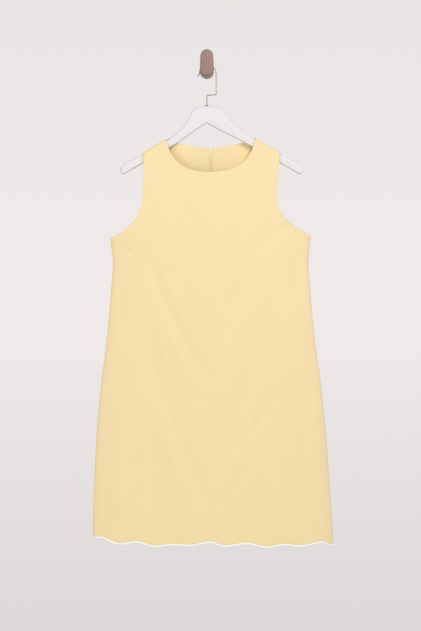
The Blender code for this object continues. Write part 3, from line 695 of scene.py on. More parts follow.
def peg_wood():
    """Brown stained wood: upright grain, short pores, painted shade along the rounded edges, and
    paler, greyer wood towards the wall.
    """
    finish = Finish("brown_wood", (0.33, 0.21, 0.18), 0.6)
    place = finish.object_point()
    x, y, z = finish.parts(place)
    bend = finish.noise(place, 34, detail=2)
    rings = ((x + 0.35 * y + 0.0035 * bend) * (TURN / RING_PITCH)).sine() * 0.5 + 0.5
    fibre = finish.noise(finish.scaled(place, (900, 900, 50)), 1, detail=3, roughness=0.65)
    pores = finish.noise(finish.scaled(place, (2000, 2000, 130)), 1, detail=1).between(0.62, 0.70)
    straight = PEG_TOP - PEG_RADIUS
    from_middle = (x * x + (z - z.clamped(0, straight)) ** 2.0) ** 0.5
    # Painted shade along the peg's rounded edges, weaker on the front face and gone towards the wall
    rim = from_middle.between(*PEG_EDGE_SHADE_PLACES)
    front = y.between(*PEG_FACE_PLACES)
    # Paler and greyer towards the wall
    back = y.between(*PEG_PALE_BACK_PLACES)
    base = finish.mix(rings * 0.45 + fibre * 0.55, (0.195, 0.110, 0.086), (0.425, 0.268, 0.220))
    paler_back = finish.mix(back * 0.8, base, (0.46, 0.38, 0.34))
    edge_shaded = finish.mix(rim * (1 - back) * (1 - 0.35 * front), paler_back, (0.15, 0.095, 0.08))
    finish.set("Base Color", finish.mix(pores * 0.6, edge_shaded, (0.12, 0.075, 0.06)))
    finish.set("Roughness", 0.52 + 0.16 * fibre)
    finish.bump(fibre + 0.4 * rings - 1.4 * pores, 0.00018, 0.6)
    return finish.material


def floor_paint():
    """Pale matt floor that fades out towards its rim."""
    finish = Finish("pale_floor", (0.74, 0.72, 0.71), 0.9)
    x, y, _ = finish.parts(finish.object_point())
    far = (x * x + y * y) ** 0.5
    clear = finish.node("ShaderNodeBsdfTransparent")
    sockets = {0: far.between(*FLOOR_FADE), 2: clear}
    faded = finish.node("ShaderNodeMixShader", sockets=sockets)
    finish.tree.links.new(finish.shader.outputs[0], faded.socket.node.inputs[1])
    finish.tree.links.new(faded.socket, finish.tree.nodes["Material Output"].inputs["Surface"])
    return finish.material


def smooth_step(start, end, value):
    """Rises smoothly from 0 at start to 1 at end."""
    t = np.clip((np.asarray(value, float) - start) / (end - start), 0, 1)
    return t * t * (3 - 2 * t)


def read_curve(places, values, at):
    """The value at a place on a smooth curve through the places' values."""
    slopes = np.gradient(values, places)
    k = np.clip(np.searchsorted(places, at) - 1, 0, len(places) - 2)
    step = places[k + 1] - places[k]
    t = np.clip((at - places[k]) / step, 0, 1)
    start = (1 + 2 * t) * (1 - t) ** 2 * values[k] + t * (1 - t) ** 2 * step * slopes[k]
    end = t * t * (3 - 2 * t) * values[k + 1] + t * t * (t - 1) * step * slopes[k + 1]
    return start + end


def at_level(values, z):
    return read_curve(LEVELS, values, z)


def hanger_top(offset):
    """Height of the hanger's top edge at a distance from its middle."""
    distances, heights = np.array(HANGER_TOP_ROWS).T
    dome = read_curve(distances, heights, np.minimum(offset, ARM_START))
    return np.where(offset < ARM_START, dome, ARM_TOP + ARM_SLOPE * offset)


def hanger_y(x):
    """The arms bow forward, away from the wall, towards their tips."""
    return HANGER_Y - HANGER_BOW * ((x - HANGER_X) / HANGER_HALF) ** 2


def shoulder_z(x):
    """Height of the cloth's outer face where it lies over the hanger's arm."""
    return ARM_TOP + ARM_SLOPE * np.abs(x - HANGER_X) + CLOTH_RISE


def middle_y(x, z):
    """The surface between front and back: the hanger's bow at the top, flat lower down."""
    bow = hanger_y(x) - HANGER_Y
    return at_level(MIDDLE_YS, z) + bow * smooth_step(*BOW_HEIGHTS, z)


def fold_rise(folds, u, z, half_width):
    """How far the soft folds push the cloth out at a point."""
    total = np.zeros_like(u)
    for top_x, top_z, pull, bottom_x, bottom_z, reach, rise in folds:
        along = (top_z - z) / (top_z - bottom_z)
        t = np.clip(along, 0, 1)
        path = top_x + (bottom_x - top_x) * t + pull * 4 * t * (1 - t)
        ends = smooth_step(*FOLD_SWELLS, along) * (1 - smooth_step(*FOLD_DIES, along))
        total = total + rise * ends * np.exp(-(((u - path) / reach) ** 2))
    return total * smooth_step(0, FOLD_FADE_AT_SEAM, half_width - np.abs(u))


def dart_crease(u, z):
    """The sewn line of each bust dart and the pressed edge that shows through below it."""
    reach = smooth_step(DART_POINT, DART_POINT + DART_FADE, np.abs(u))
    slant = DART_SLANT * smooth_step(0, DART_SLANT_RUN, np.abs(u) - DART_POINT)
    groove = np.exp(-(((z - DART_Z + slant) / DART_GROOVE_HALF) ** 2))
    edge = np.exp(-(((z - DART_EDGE_Z + slant) / DART_STEP_HALF) ** 2))
    return (DART_STEP * edge - DART_GROOVE * groove) * reach


def waves(x, z):
    """Slow uneven waves over the whole cloth."""
    total = np.zeros_like(x)
    for across, down, turn, height in WAVES:
        total = total + height * np.sin(TURN * (x / across + z / down) + turn)
    return total


def cloth_y(x, z, face):
    """The outer face of the front (face -1) or of the back (face 1)."""
    u = x - at_level(MIDDLE_XS, z)
    half_width = at_level(HALF_WIDTHS, z)
    round_off = np.sqrt(np.clip(1 - (u / half_width) ** 2, 0, 1))
    free = smooth_step(0.0, CREASES_BEGIN, shoulder_z(x) - z - WRAP_HEIGHT)
    in_seam = smooth_step(0.0, FOLD_FADE_AT_SEAM, half_width - np.abs(u))
    if face < 0:
        depth = at_level(FRONT_DEPTHS, z) * round_off
        depth = depth + fold_rise(FRONT_FOLDS, u, z, half_width)
        fine = fold_rise(FRONT_CREASES, u, z, half_width) + waves(x, z) * in_seam
        depth = depth + (fine + dart_crease(u, z)) * free
    else:
        depth = at_level(BACK_DEPTHS, z) * round_off
        beside_zip = smooth_step(*FLAT_BESIDE_ZIP, np.abs(u))
        depth = depth + fold_rise(BACK_FOLDS, u, z, half_width) * beside_zip
        fine = fold_rise(BACK_CREASES, u, z, half_width) + waves(-x, z) * in_seam
        depth = depth + fine * free * beside_zip
    below = shoulder_z(x) - z
    turn = 1 - np.clip(below / WRAP_HEIGHT, 0, 1)
    wrap = WRAP_DEPTH * np.sqrt(1 - turn**2)
    depth = wrap + (depth - WRAP_DEPTH) * smooth_step(0, SHOULDER_REACH, below)
    return middle_y(x, z) + face * np.maximum(depth, GAP / 2)


def armhole(side):
    """The armhole's point (x, z) at a fraction of its length."""
    tip_x = DRESS_X + side * SHOULDER_TIP
    under_x = at_level(MIDDLE_XS, UNDERARM_Z) + side * at_level(HALF_WIDTHS, UNDERARM_Z)
    pulls = [(DRESS_X + side * x, z) for x, z in (LEFT_ARMHOLE if side < 0 else RIGHT_ARMHOLE)]
    corners = np.array([(tip_x, shoulder_z(tip_x)), *pulls, (under_x, UNDERARM_Z)])
    t = np.linspace(0, 1, CURVE_POINTS)[:, None]
    order = len(corners) - 1
    curve = sum(
        math.comb(order, k) * (1 - t) ** (order - k) * t**k * corner
        for k, corner in enumerate(corners)
    )
    length = np.concatenate([[0], np.cumsum(np.linalg.norm(np.diff(curve, axis=0), axis=1))])
    share = length / length[-1]
    return lambda v: np.array([np.interp(v, share, curve[:, 0]), np.interp(v, share, curve[:, 1])])


def top_edge(side, face):
    """The shoulder seam and the neckline of a half panel, from the shoulder tip inwards.

    The front neckline is a full curve that flares at the shoulders, the back one is shallow.
    """
    along_seam = np.minimum(COLUMN_STEPS / SHOULDER_COLUMNS, 1)
    round_neck = np.clip(
        (COLUMN_STEPS - SHOULDER_COLUMNS) / (COLUMNS - SHOULDER_COLUMNS), 0, 1
    )
    angle = round_neck**NECK_CROWDING * math.pi / 2
    across = np.cos(angle)
    if face < 0:
        flare = NECK_FLARE * (1 - np.clip(angle / NECK_FLARE_ANGLE, 0, 1)) ** 2
        neck_out = (NECK_HALF - NECK_FLARE) * across + flare
        drop = FRONT_NECK_DROP * (1 - across**NECK_POWER) ** (1 / NECK_POWER)
    else:
        neck_out = NECK_HALF * across
        drop = BACK_NECK_DROP * (1 - across**2)
    out = SHOULDER_TIP + (NECK_HALF - SHOULDER_TIP) * along_seam
    x = DRESS_X + side * np.where(round_neck > 0, neck_out, out)
    neck_ends = shoulder_z(DRESS_X + np.array((-1, 1)) * NECK_HALF)
    neck_point = neck_ends[(side + 1) // 2]
    level = neck_point + (neck_ends.mean() - neck_point) * (1 - across)
    z = np.where(round_neck > 0, level - drop, shoulder_z(x))
    return np.stack([x, z], axis=1)


def column_angles(z, depths):
    """Each column's angle round the section at a level, spaced evenly along the cloth."""
    angles = np.linspace(0, math.pi / 2, SECTION_POINTS)
    half_width = at_level(HALF_WIDTHS, z)
    depth = at_level(depths, z)
    steps = np.hypot(np.diff(half_width * np.sin(angles)), np.diff(depth * np.cos(angles)))
    share = np.concatenate([[0], np.cumsum(steps)]) / steps.sum()
    return np.interp(1 - COLUMN_STEPS / COLUMNS, share, angles)


def section_row(side, z, angles):
    """The points (x, z) of a row at the given height, or heights."""
    x = at_level(MIDDLE_XS, z) + side * at_level(HALF_WIDTHS, z) * np.sin(angles)
    return np.stack([x, np.broadcast_to(z, x.shape)], axis=1)


def hem_z(hem_rows, xs):
    """Height of the hem, which swings smoothly from each crest to the next low."""
    places, heights = np.array(hem_rows).T
    k = np.clip(np.searchsorted(places, xs) - 1, 0, len(places) - 2)
    swing = smooth_step(places[k], places[k + 1], xs)
    return heights[k] + (heights[k + 1] - heights[k]) * swing


def skirt_levels(face):
    """Heights of the rows below the underarm, close together at the darts of the front."""
    even = np.arange(UNDERARM_Z - ROW, HEM_ROWS_TOP + ROW / 2, -ROW)
    if face > 0:
        return [*even, HEM_ROWS_TOP]
    fine = np.arange(DART_Z + DART_ROWS_ABOVE, DART_EDGE_Z - DART_ROWS_BELOW, -DART_ROW)
    even = [z for z in even if not fine[-1] - DART_ROW < z < fine[0] + DART_ROW]
    return sorted([*even, *fine, HEM_ROWS_TOP], reverse=True)


def half_grid(side, face):
    """Outer points of a half panel, as rows from the top, with the outer edge first."""
    depths = FRONT_DEPTHS if face < 0 else BACK_DEPTHS
    top = top_edge(side, face)
    under = section_row(side, UNDERARM_Z, column_angles(UNDERARM_Z, depths))
    arm = armhole(side)
    seam_run = shoulder_z(DRESS_X + side * SHOULDER_TIP) - UNDERARM_Z
    wrap_rows = WRAP_HEIGHT * (1 - np.cos(WRAP_ANGLES)) / seam_run
    chest_rows = np.linspace(wrap_rows[-1], 1, CHEST_ROWS + 1)[1:]
    toward_edge = ((1 - COLUMN_STEPS / COLUMNS) ** 2)[:, None]
    rows = []
    for v in (*wrap_rows, *chest_rows):
        plain = (1 - v) * top + v * under
        rows.append(plain + toward_edge * (arm(v) - plain[0]))
    for z in skirt_levels(face):
        rows.append(section_row(side, z, column_angles(z, depths)))
    angles = column_angles(HEM_Z, depths)
    hem_rows = FRONT_HEM_ROWS if face < 0 else BACK_HEM_ROWS
    hem = hem_z(hem_rows, section_row(side, HEM_Z, angles)[:, 0])
    for t in np.arange(1, HEM_ROWS + 1) / HEM_ROWS:
        rows.append(section_row(side, HEM_ROWS_TOP + t * (hem - HEM_ROWS_TOP), angles))
    flat = np.array(rows)
    x, z = flat[..., 0], flat[..., 1]
    if face > 0:
        x = x.copy()
        funnel = FUNNEL_HALF * smooth_step(FUNNEL_BOTTOM, FUNNEL_TOP, z[:, -1])
        near_zip = np.clip(1 - (COLUMNS - COLUMN_STEPS) / ZIP_COLUMNS, 0, 1)
        x += side * (GAP / 2 + funnel)[:, None] * near_zip
    return np.stack([x, cloth_y(x, z, face), z], axis=2)


def outward(grid, face, seam_columns):
    """Unit normals of a grid's outer face, level with the seam planes at the seams."""
    x, z = grid[..., 0], grid[..., 2]
    step = SLOPE_STEP
    slope_x = (cloth_y(x + step, z, face) - cloth_y(x - step, z, face)) / (2 * step)
    slope_z = (cloth_y(x, z + step, face) - cloth_y(x, z - step, face)) / (2 * step)
    normals = face * np.stack([-slope_x, np.ones_like(x), -slope_z], axis=2)
    for column, shoulder, side in seam_columns:
        normals[UNDERARM_ROW:, column] = (side, 0, 0)
        normals[0, shoulder] = (-ARM_SLOPE * side, 0, 1)
    return normals / np.linalg.norm(normals, axis=2, keepdims=True)


def lengths_along(grid, axis, start):
    """Distance along the cloth from a given row or column, below zero before it."""
    steps = np.linalg.norm(np.diff(grid, axis=axis), axis=2)
    pad = [(0, 0), (0, 0)]
    pad[axis] = (1, 0)
    run = np.pad(np.cumsum(steps, axis=axis), pad)
    return run - np.take(run, [start], axis=axis)


def unit(vectors):
    return vectors / np.maximum(np.linalg.norm(vectors, axis=-1, keepdims=True), 1e-9)


def border(rows, columns):
    """Row and column numbers round the edge of a grid, and the neighbour inside each."""
    top = [(0, c) for c in range(columns - 1)]
    right = [(r, columns - 1) for r in range(rows - 1)]
    bottom = [(rows - 1, c) for c in range(columns - 1, 0, -1)]
    left = [(r, 0) for r in range(rows - 1, 0, -1)]
    edge = np.array([*top, *right, *bottom, *left])
    inside = np.clip(edge, (1, 1), (rows - 2, columns - 2))
    return edge, inside


def cloth_shell(name, outer, normals, thick, roll, cloth_u, cloth_v):
    """A sheet with a rolled rim. roll says how far each rim point stands out, in half walls."""
    rows, columns = outer.shape[:2]
    inner = outer - normals * thick[..., None]
    count = rows * columns
    index = np.arange(count).reshape(rows, columns)
    edge, inside = border(rows, columns)
    rim_outer = outer[edge[:, 0], edge[:, 1]]
    rim_inner = inner[edge[:, 0], edge[:, 1]]
    middle = (rim_outer + rim_inner) / 2
    half = (rim_outer - rim_inner) / 2
    away = middle - (outer[inside[:, 0], inside[:, 1]] + inner[inside[:, 0], inside[:, 1]]) / 2
    across = unit(half)
    away = unit(away - across * (away * across).sum(axis=1, keepdims=True))
    reach = np.linalg.norm(half, axis=1, keepdims=True) * roll[edge[:, 0], edge[:, 1]][:, None]
    rim = [middle + half * math.cos(a) + away * reach * math.sin(a) for a in RIM_TURNS]
    points = np.concatenate([outer.reshape(-1, 3), inner.reshape(-1, 3), *rim])
    a = index[:-1, :-1].ravel()
    b = index[1:, :-1].ravel()
    c = index[1:, 1:].ravel()
    d = index[:-1, 1:].ravel()
    front = np.stack([a, b, c, d], axis=1)
    back = np.stack([d, c, b, a], axis=1) + count
    length = len(edge)
    loop = index[edge[:, 0], edge[:, 1]]
    rings = [2 * count + k * length + np.arange(length) for k in range(len(rim))]
    bands = [loop, *rings, loop + count]
    sides = [
        np.stack([first, np.roll(first, -1), np.roll(second, -1), second], axis=1)
        for first, second in zip(bands, bands[1:])
    ]
    faces = np.concatenate([front, back, *sides])
    flat = [
        np.concatenate([places.ravel(), places.ravel(), *[places[edge[:, 0], edge[:, 1]]] * len(rim)])
        for places in (cloth_u, cloth_v)
    ]
    if np.dot(np.cross(outer[1, 0] - outer[0, 0], outer[0, 1] - outer[0, 0]), normals[0, 0]) < 0:
        faces = faces[:, ::-1]
    return quad_mesh(name, points, faces, np.stack(flat, axis=1))


def quad_mesh(name, points, faces, places):
    """A smooth mesh of four-cornered faces, with its cloth places in metres as a UV map."""
    mesh = bpy.data.meshes.new(name)
    mesh.vertices.add(len(points))
    mesh.vertices.foreach_set("co", points.astype(np.float32).ravel())
    mesh.loops.add(faces.size)
    mesh.loops.foreach_set("vertex_index", faces.astype(np.int32).ravel())
    mesh.polygons.add(len(faces))
    mesh.polygons.foreach_set("loop_start", np.arange(0, faces.size, 4, dtype=np.int32))
    mesh.polygons.foreach_set("loop_total", np.full(len(faces), 4, dtype=np.int32))
    mesh.update(calc_edges=True)
    mesh.validate()
    layer = mesh.uv_layers.new(name="cloth")
    corners = np.zeros(len(mesh.loops), dtype=np.int32)
    mesh.loops.foreach_get("vertex_index", corners)
    layer.data.foreach_set("uv", places[corners].astype(np.float32).ravel())
    mesh.shade_smooth()
    piece = bpy.data.objects.new(name, mesh)
    bpy.context.scene.collection.objects.link(piece)
    return piece


def settle(piece, material, nodes, body="root"):
    """Gives a finished piece its material and its body, and hides the solids that it stands for."""
    piece.data.materials.clear()
    piece.data.materials.append(material)
    if nodes:
        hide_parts(*nodes)
    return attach(piece, body)


def from_side(grid, both_sides):
    """Distance along the cloth from the outer edge, or from the nearer one of two."""
    side = np.abs(lengths_along(grid, 1, 0))
    if both_sides:
        side = np.minimum(side, np.abs(lengths_along(grid, 1, grid.shape[1] - 1)))
    return side


def wall_sizes(grid, both_sides):
    """Wall thickness: thin cloth, thicker where the neck and armhole edges are turned."""
    down = np.abs(lengths_along(grid, 0, 0))
    side = from_side(grid, both_sides)
    side[UNDERARM_ROW:] = np.inf
    return CLOTH + (THIN - CLOTH) * smooth_step(0, EDGE_REACH, np.minimum(down, side))


def press_arm_line(grid, normals, both_sides):
    """Sinks the shallow line that the turned edge leaves along each armhole."""
    away = (from_side(grid, both_sides) - ARM_LINE_IN) / ARM_LINE_HALF
    line = ARM_LINE_DEPTH * np.exp(-(away**2))
    line[UNDERARM_ROW - 1 :] = 0
    return grid - normals * line[..., None]


def rim_rolls(grid, shoulders, centre_seam):
    """How far the rim stands out: full at open edges, flush where a seam joins panels."""
    rows, columns = grid.shape[:2]
    roll = np.ones((rows, columns))
    for column in (0,) if centre_seam else (0, columns - 1):
        roll[UNDERARM_ROW:, column] = SEAM_ROLL
    for seam in shoulders:
        roll[0, seam] = SEAM_ROLL
    if centre_seam:
        roll[:, -1] = SEAM_ROLL
    roll[-1] = HEM_ROLL
    return roll


def make_piping(name, grid, normals, material):
    """A covered cord under the hem, with small uneven puckers where it turns."""
    middle = grid[-1] - normals[-1] * CLOTH / 2
    middle = middle - np.array((0, 0, GAP + PIPING_HALF_HEIGHT - PIPING_TUCK))
    level = unit(normals[-1] * (1, 1, 0))
    run = np.concatenate([[0], np.cumsum(np.linalg.norm(np.diff(middle, axis=0), axis=1))])
    places = np.linspace(0, run[-1], int(run[-1] / PIPING_STEP))
    points = np.stack([np.interp(places, run, middle[:, k]) for k in range(3)], axis=1)
    facing = unit(np.stack([np.interp(places, run, level[:, k]) for k in range(3)], axis=1))
    uneven = PUCKER_UNEVEN * np.sin(places * PUCKER_SLOW)
    swell = 1 + PUCKER * np.sin(places * PUCKER_QUICK + uneven)
    swell = swell + SWELL * np.sin(places * SWELL_SLOW + 1)
    turns = np.arange(PIPING_SIDES) / PIPING_SIDES * TURN
    rings = np.stack(
        [
            points
            + facing * (PIPING_HALF_THICKNESS * swell * math.cos(turn))[:, None]
            + np.outer(PIPING_HALF_HEIGHT * swell * math.sin(turn), (0, 0, 1))
            for turn in turns
        ],
        axis=1,
    )
    near_end, far_end = (
        ring * PIPING_END + ring.mean(axis=1, keepdims=True) * (1 - PIPING_END)
        for ring in (rings[:1], rings[-1:])
    )
    rings = np.concatenate([near_end, rings, far_end])
    count = len(rings)
    index = np.arange(count * PIPING_SIDES).reshape(count, PIPING_SIDES)
    near, far = index[:-1], index[1:]
    faces = np.stack([near, np.roll(near, -1, 1), np.roll(far, -1, 1), far], axis=2).reshape(-1, 4)
    caps = [index[0][[0, k, k + 1, k + 2]] for k in range(1, PIPING_SIDES - 2, 2)]
    caps += [index[-1][[0, k + 2, k + 1, k]] for k in range(1, PIPING_SIDES - 2, 2)]
    spots = np.concatenate([[places[0]], places, [places[-1]]])
    girth = turns * (PIPING_HALF_HEIGHT + PIPING_HALF_THICKNESS) / 2
    uv = np.stack(np.broadcast_arrays(spots[:, None], girth[None, :]), axis=2).reshape(-1, 2)
    piece = quad_mesh(name, rings.reshape(-1, 3), np.concatenate([faces, caps]), uv)
    point_outward(piece)
    piece.data.materials.append(material)
    return piece


def point_outward(piece):
    """Turns every face of a closed piece to the outside."""
    work = bmesh.new()
    work.from_mesh(piece.data)
    bmesh.ops.recalc_face_normals(work, faces=work.faces)
    work.to_mesh(piece.data)
    work.free()


def make_front(cloth, white):
    left, right = half_grid(-1, -1), half_grid(1, -1)
    grid = np.concatenate([left, right[:, -2::-1]], axis=1)
    columns = grid.shape[1]
    seam, far_seam = slice(0, SEAM_POINTS), slice(columns - SEAM_POINTS, None)
    normals = outward(grid, -1, ((0, seam, -1), (-1, far_seam, 1)))
    grid = press_arm_line(grid, normals, both_sides=True)
    thick = wall_sizes(grid, both_sides=True)
    roll = rim_rolls(grid, (seam, far_seam), centre_seam=False)
    u = lengths_along(grid, 1, columns // 2)
    v = -lengths_along(grid, 0, UNDERARM_ROW)
    piece = cloth_shell("front_cloth", grid, normals, thick, roll, u, v)
    settle(piece, cloth, ["front"])
    piping = make_piping("hem_piping_front", grid, normals, white)
    settle(piping, white, ["piping_front"])


def make_back(side, word, cloth, lining, white):
    """One back, its facing and its piping. Gives back the grid and the normals."""
    grid = half_grid(side, 1)
    seam = slice(0, SEAM_POINTS)
    normals = outward(grid, 1, ((0, seam, side),))
    grid = press_arm_line(grid, normals, both_sides=False)
    thick = wall_sizes(grid, both_sides=False)
    roll = rim_rolls(grid, (seam,), centre_seam=True)
    u = side * np.abs(lengths_along(grid, 1, grid.shape[1] - 1))
    v = -lengths_along(grid, 0, UNDERARM_ROW)
    piece = cloth_shell(f"back_cloth_{word}", grid, normals, thick, roll, u, v)
    settle(piece, cloth, [f"back_{word}"])
    piping = make_piping(f"hem_piping_{word}", grid, normals, white)
    settle(piping, white, [f"piping_back_{word}"])
    facing = make_facing(side, word, grid, normals, lining)
    return grid, normals


def make_facing(side, word, grid, normals, cloth):
    """The back neck facing, flush with the neckline, its zip edge turned away from the coil."""
    seam_run = shoulder_z(DRESS_X + side * SHOULDER_TIP) - UNDERARM_Z
    bottom_row = len(WRAP_ANGLES) - 1 + round((FACING_BOTTOM - WRAP_HEIGHT / seam_run) * CHEST_ROWS)
    block = (slice(0, bottom_row + 1), COLUMN_STEPS >= FACING_FIRST_STEP)
    outer = (grid - normals * (CLOTH + GAP / 2))[block]
    steps = COLUMN_STEPS[COLUMN_STEPS >= FACING_FIRST_STEP]
    edge = DRESS_X + side * (TAPE_HALF + GAP)
    shift = edge + FACING_SPREAD * (outer[:, -1, 0] - DRESS_X) - outer[:, -1, 0]
    outer[..., 0] += shift[:, None] * smooth_step(COLUMNS - FACING_TURN_COLUMNS, COLUMNS, steps)
    thick = np.full(outer.shape[:2], FACING_THICK)
    roll = np.ones(outer.shape[:2])
    u = lengths_along(outer, 1, 0)
    v = -lengths_along(outer, 0, 0)
    piece = cloth_shell(f"facing_cloth_{word}", outer, normals[block], thick, roll, v, u)
    return settle(piece, cloth, [f"facing_{word}"])


def make_zip(grid, normals, tape_finish, yarn):
    """Two tapes and a coil behind the centre back seam."""
    seam = grid[:, -1] - normals[:, -1] * CLOTH
    order = seam[::-1]
    heights = np.arange(TAPE_BOTTOM, TAPE_TOP + ROW / 4, ROW / 2)
    y = np.interp(heights, order[:, 2], order[:, 1]) - GAP
    x = np.interp(heights, order[:, 2], order[:, 0]) - GAP / 2
    for side in (-1, 1):
        across = (side * np.linspace(TAPE_INNER, TAPE_HALF, TAPE_COLUMNS))[::side]
        rows = np.stack([np.stack([x + u, y, heights], axis=1) for u in across], axis=1)[::-1]
        facing_back = np.broadcast_to((0.0, 1.0, 0.0), rows.shape)
        thick = np.full(rows.shape[:2], TAPE_THICK)
        roll = np.full(rows.shape[:2], TAPE_ROLL)
        zeros = lengths_along(rows, 1, 0)
        name = "zip_tape_" + ("right" if side > 0 else "left")
        tape = cloth_shell(name, rows, facing_back, thick, roll, zeros, zeros)
        nodes = ["zip_tape"] if side > 0 else []
        settle(tape, tape_finish, nodes)
    coil = make_coil(heights, x, y - TAPE_THICK)
    settle(coil, yarn, [])


def make_coil(heights, x, y):
    """The zip's teeth: loops of yarn that lean in turn from the left and from the right."""
    tooth = add_piece(
        "tooth", bpy.ops.mesh.primitive_uv_sphere_add,
        segments=8, ring_count=6, radius=1, scale=TOOTH_SIZE,
    )
    copies = []
    count = int((heights[-1] - heights[0]) / COIL_PITCH * 2) - 2
    for k in range(count):
        z = heights[0] + (k + 1) * COIL_PITCH / 2
        lean = TOOTH_LEAN if k % 2 else -TOOTH_LEAN
        copy = tooth.copy()
        copy.data = tooth.data.copy()
        place = Vector((float(np.interp(z, heights, x)) + lean * COIL_HALF, 0, z))
        place.y = float(np.interp(z, heights, y)) - COIL_HEIGHT / 2
        copy.data.transform(Matrix.Rotation(lean / 2, 4, "Y"))
        for vertex in copy.data.vertices:
            vertex.co += place
        bpy.context.scene.collection.objects.link(copy)
        copies.append(copy)
    bpy.data.objects.remove(tooth)
    select_only(*copies)
    bpy.ops.object.join()
    coil = bpy.context.object
    coil.name = coil.data.name = "zip_coil"
    bpy.ops.object.shade_smooth()
    return coil


def select_only(*pieces):
    """Selects the given pieces alone and makes the first of them active."""
    bpy.ops.object.select_all(action="DESELECT")
    for piece in pieces:
        piece.select_set(True)
    bpy.context.view_layer.objects.active = pieces[0]


def add_piece(name, add, **sizes):
    """Adds a primitive by itself, names it, and fixes its turn and size in its mesh."""
    bpy.ops.object.select_all(action="DESELECT")
    add(**sizes)
    bpy.ops.object.transform_apply(location=True, rotation=True, scale=True)
    piece = bpy.context.object
    piece.name = piece.data.name = name
    return piece


def add_block(name, centre, size):
    return add_piece(name, bpy.ops.mesh.primitive_cube_add, size=1, location=centre, scale=size)


def add_round(name, centre, radius, length, along, sides=48):
    """A cylinder along X, Y or Z."""
    turned = {"X": (0, math.pi / 2, 0), "Y": (math.pi / 2, 0, 0), "Z": (0, 0, 0)}[along]
    return add_piece(
        name, bpy.ops.mesh.primitive_cylinder_add,
        vertices=sides, radius=radius, depth=length, location=centre, rotation=turned,
    )


def pick(test, kind="faces"):
    """In edit mode, selects the faces, edges or vertices that pass a test."""
    mesh = bpy.context.object.data
    mode = {"faces": "FACE", "edges": "EDGE", "verts": "VERT"}[kind]
    bpy.ops.mesh.select_mode(type=mode)
    bpy.ops.mesh.select_all(action="DESELECT")
    work = bmesh.from_edit_mesh(mesh)
    for element in getattr(work, kind):
        if test(element):
            element.select_set(True)
    work.select_flush_mode()
    bmesh.update_edit_mesh(mesh)


def faces_toward(direction, share=0.9):
    """A test for faces that look a given way."""
    return lambda face: face.normal.dot(Vector(direction)) > share


def rim_edges(direction, share=0.9):
    """A test for edges between a face that looks a given way and one that doesn't."""
    def test(edge):
        looks = [face.normal.dot(Vector(direction)) > share for face in edge.link_faces]
        return len(looks) == 2 and looks[0] != looks[1]

    return test


def sharp_edges(degrees):
    return lambda edge: edge.calc_face_angle(0) > math.radians(degrees)


def both_rims(direction):
    """A test for the edges round the faces that look a given way or the opposite way."""
    ahead, behind = rim_edges(direction), rim_edges(-Vector(direction))
    return lambda edge: ahead(edge) or behind(edge)


def edit_mode(on):
    bpy.ops.object.mode_set(mode="EDIT" if on else "OBJECT")


def draw_out(move):
    bpy.ops.mesh.extrude_region_move(TRANSFORM_OT_translate={"value": tuple(move)})


def scale_about(centre, value):
    bpy.ops.transform.resize(value=value, center_override=centre)


def round_edges(width, segments=3):
    bpy.ops.mesh.bevel(offset=width, segments=segments, profile=0.5, affect="EDGES")


def join_solids(piece, other, operation="UNION"):
    """Adds one closed shape to another, or cuts it away, and removes the other."""
    select_only(piece)
    modifier = piece.modifiers.new(other.name, "BOOLEAN")
    modifier.operation = operation
    modifier.solver = "EXACT"
    modifier.object = other
    bpy.ops.object.modifier_apply(modifier=modifier.name)
    bpy.data.objects.remove(other)


def smooth_piece(piece, degrees=32):
    select_only(piece)
    bpy.ops.object.shade_smooth_by_angle(angle=math.radians(degrees))


def hanger_sections():
    """Distance from the hanger's middle, top, underside and share of full thickness."""
    tip_start = HANGER_HALF - HANGER_END
    dome = np.arange(HANGER_STEP, ARM_START, HANGER_STEP)
    arm = np.linspace(ARM_START, tip_start, HANGER_ARM_SECTIONS)
    tip = tip_start + HANGER_END * np.sin(HANGER_TIP_TURNS)
    for far in (*dome, *arm, *tip):
        past = max(0.0, far - tip_start) / HANGER_END
        yield far, float(hanger_top(far)), HANGER_UNDER + UNDER_SLOPE * far, math.sqrt(1 - past**2)


def make_hanger(paint):
    """A short block with its long edges rounded, drawn out to both tips and notched."""
    top, under = float(hanger_top(0)), HANGER_UNDER
    piece = add_block(
        "wooden_hanger", (0, HANGER_Y, (top + under) / 2),
        (HANGER_STEP, HANGER_THICKNESS, top - under),
    )
    edit_mode(True)
    for high, width, segments in ((1, HANGER_TOP_ROUND, 7), (-1, HANGER_LOW_CORNER, 4)):
        pick(
            lambda edge: abs(edge.verts[0].co.x - edge.verts[1].co.x) > HANGER_STEP / 2
            and all(high * (v.co.z - (top + under) / 2) > 0 for v in edge.verts),
            "edges",
        )
        round_edges(width, segments)
    for side in (-1, 1):
        draw_arm(side, top, under)
    edit_mode(False)
    for side in (-1, 1):
        for far in NOTCHES:
            x = HANGER_X + side * far
            place = (x, float(hanger_y(x)), float(hanger_top(far)) + NOTCH_RISE)
            notch = add_round("notch", place, NOTCH_RADIUS, HANGER_THICKNESS * 2, "Y", sides=20)
            join_solids(piece, notch, "DIFFERENCE")
    smooth_piece(piece, 30)
    settle(piece, paint, ["hanger"])


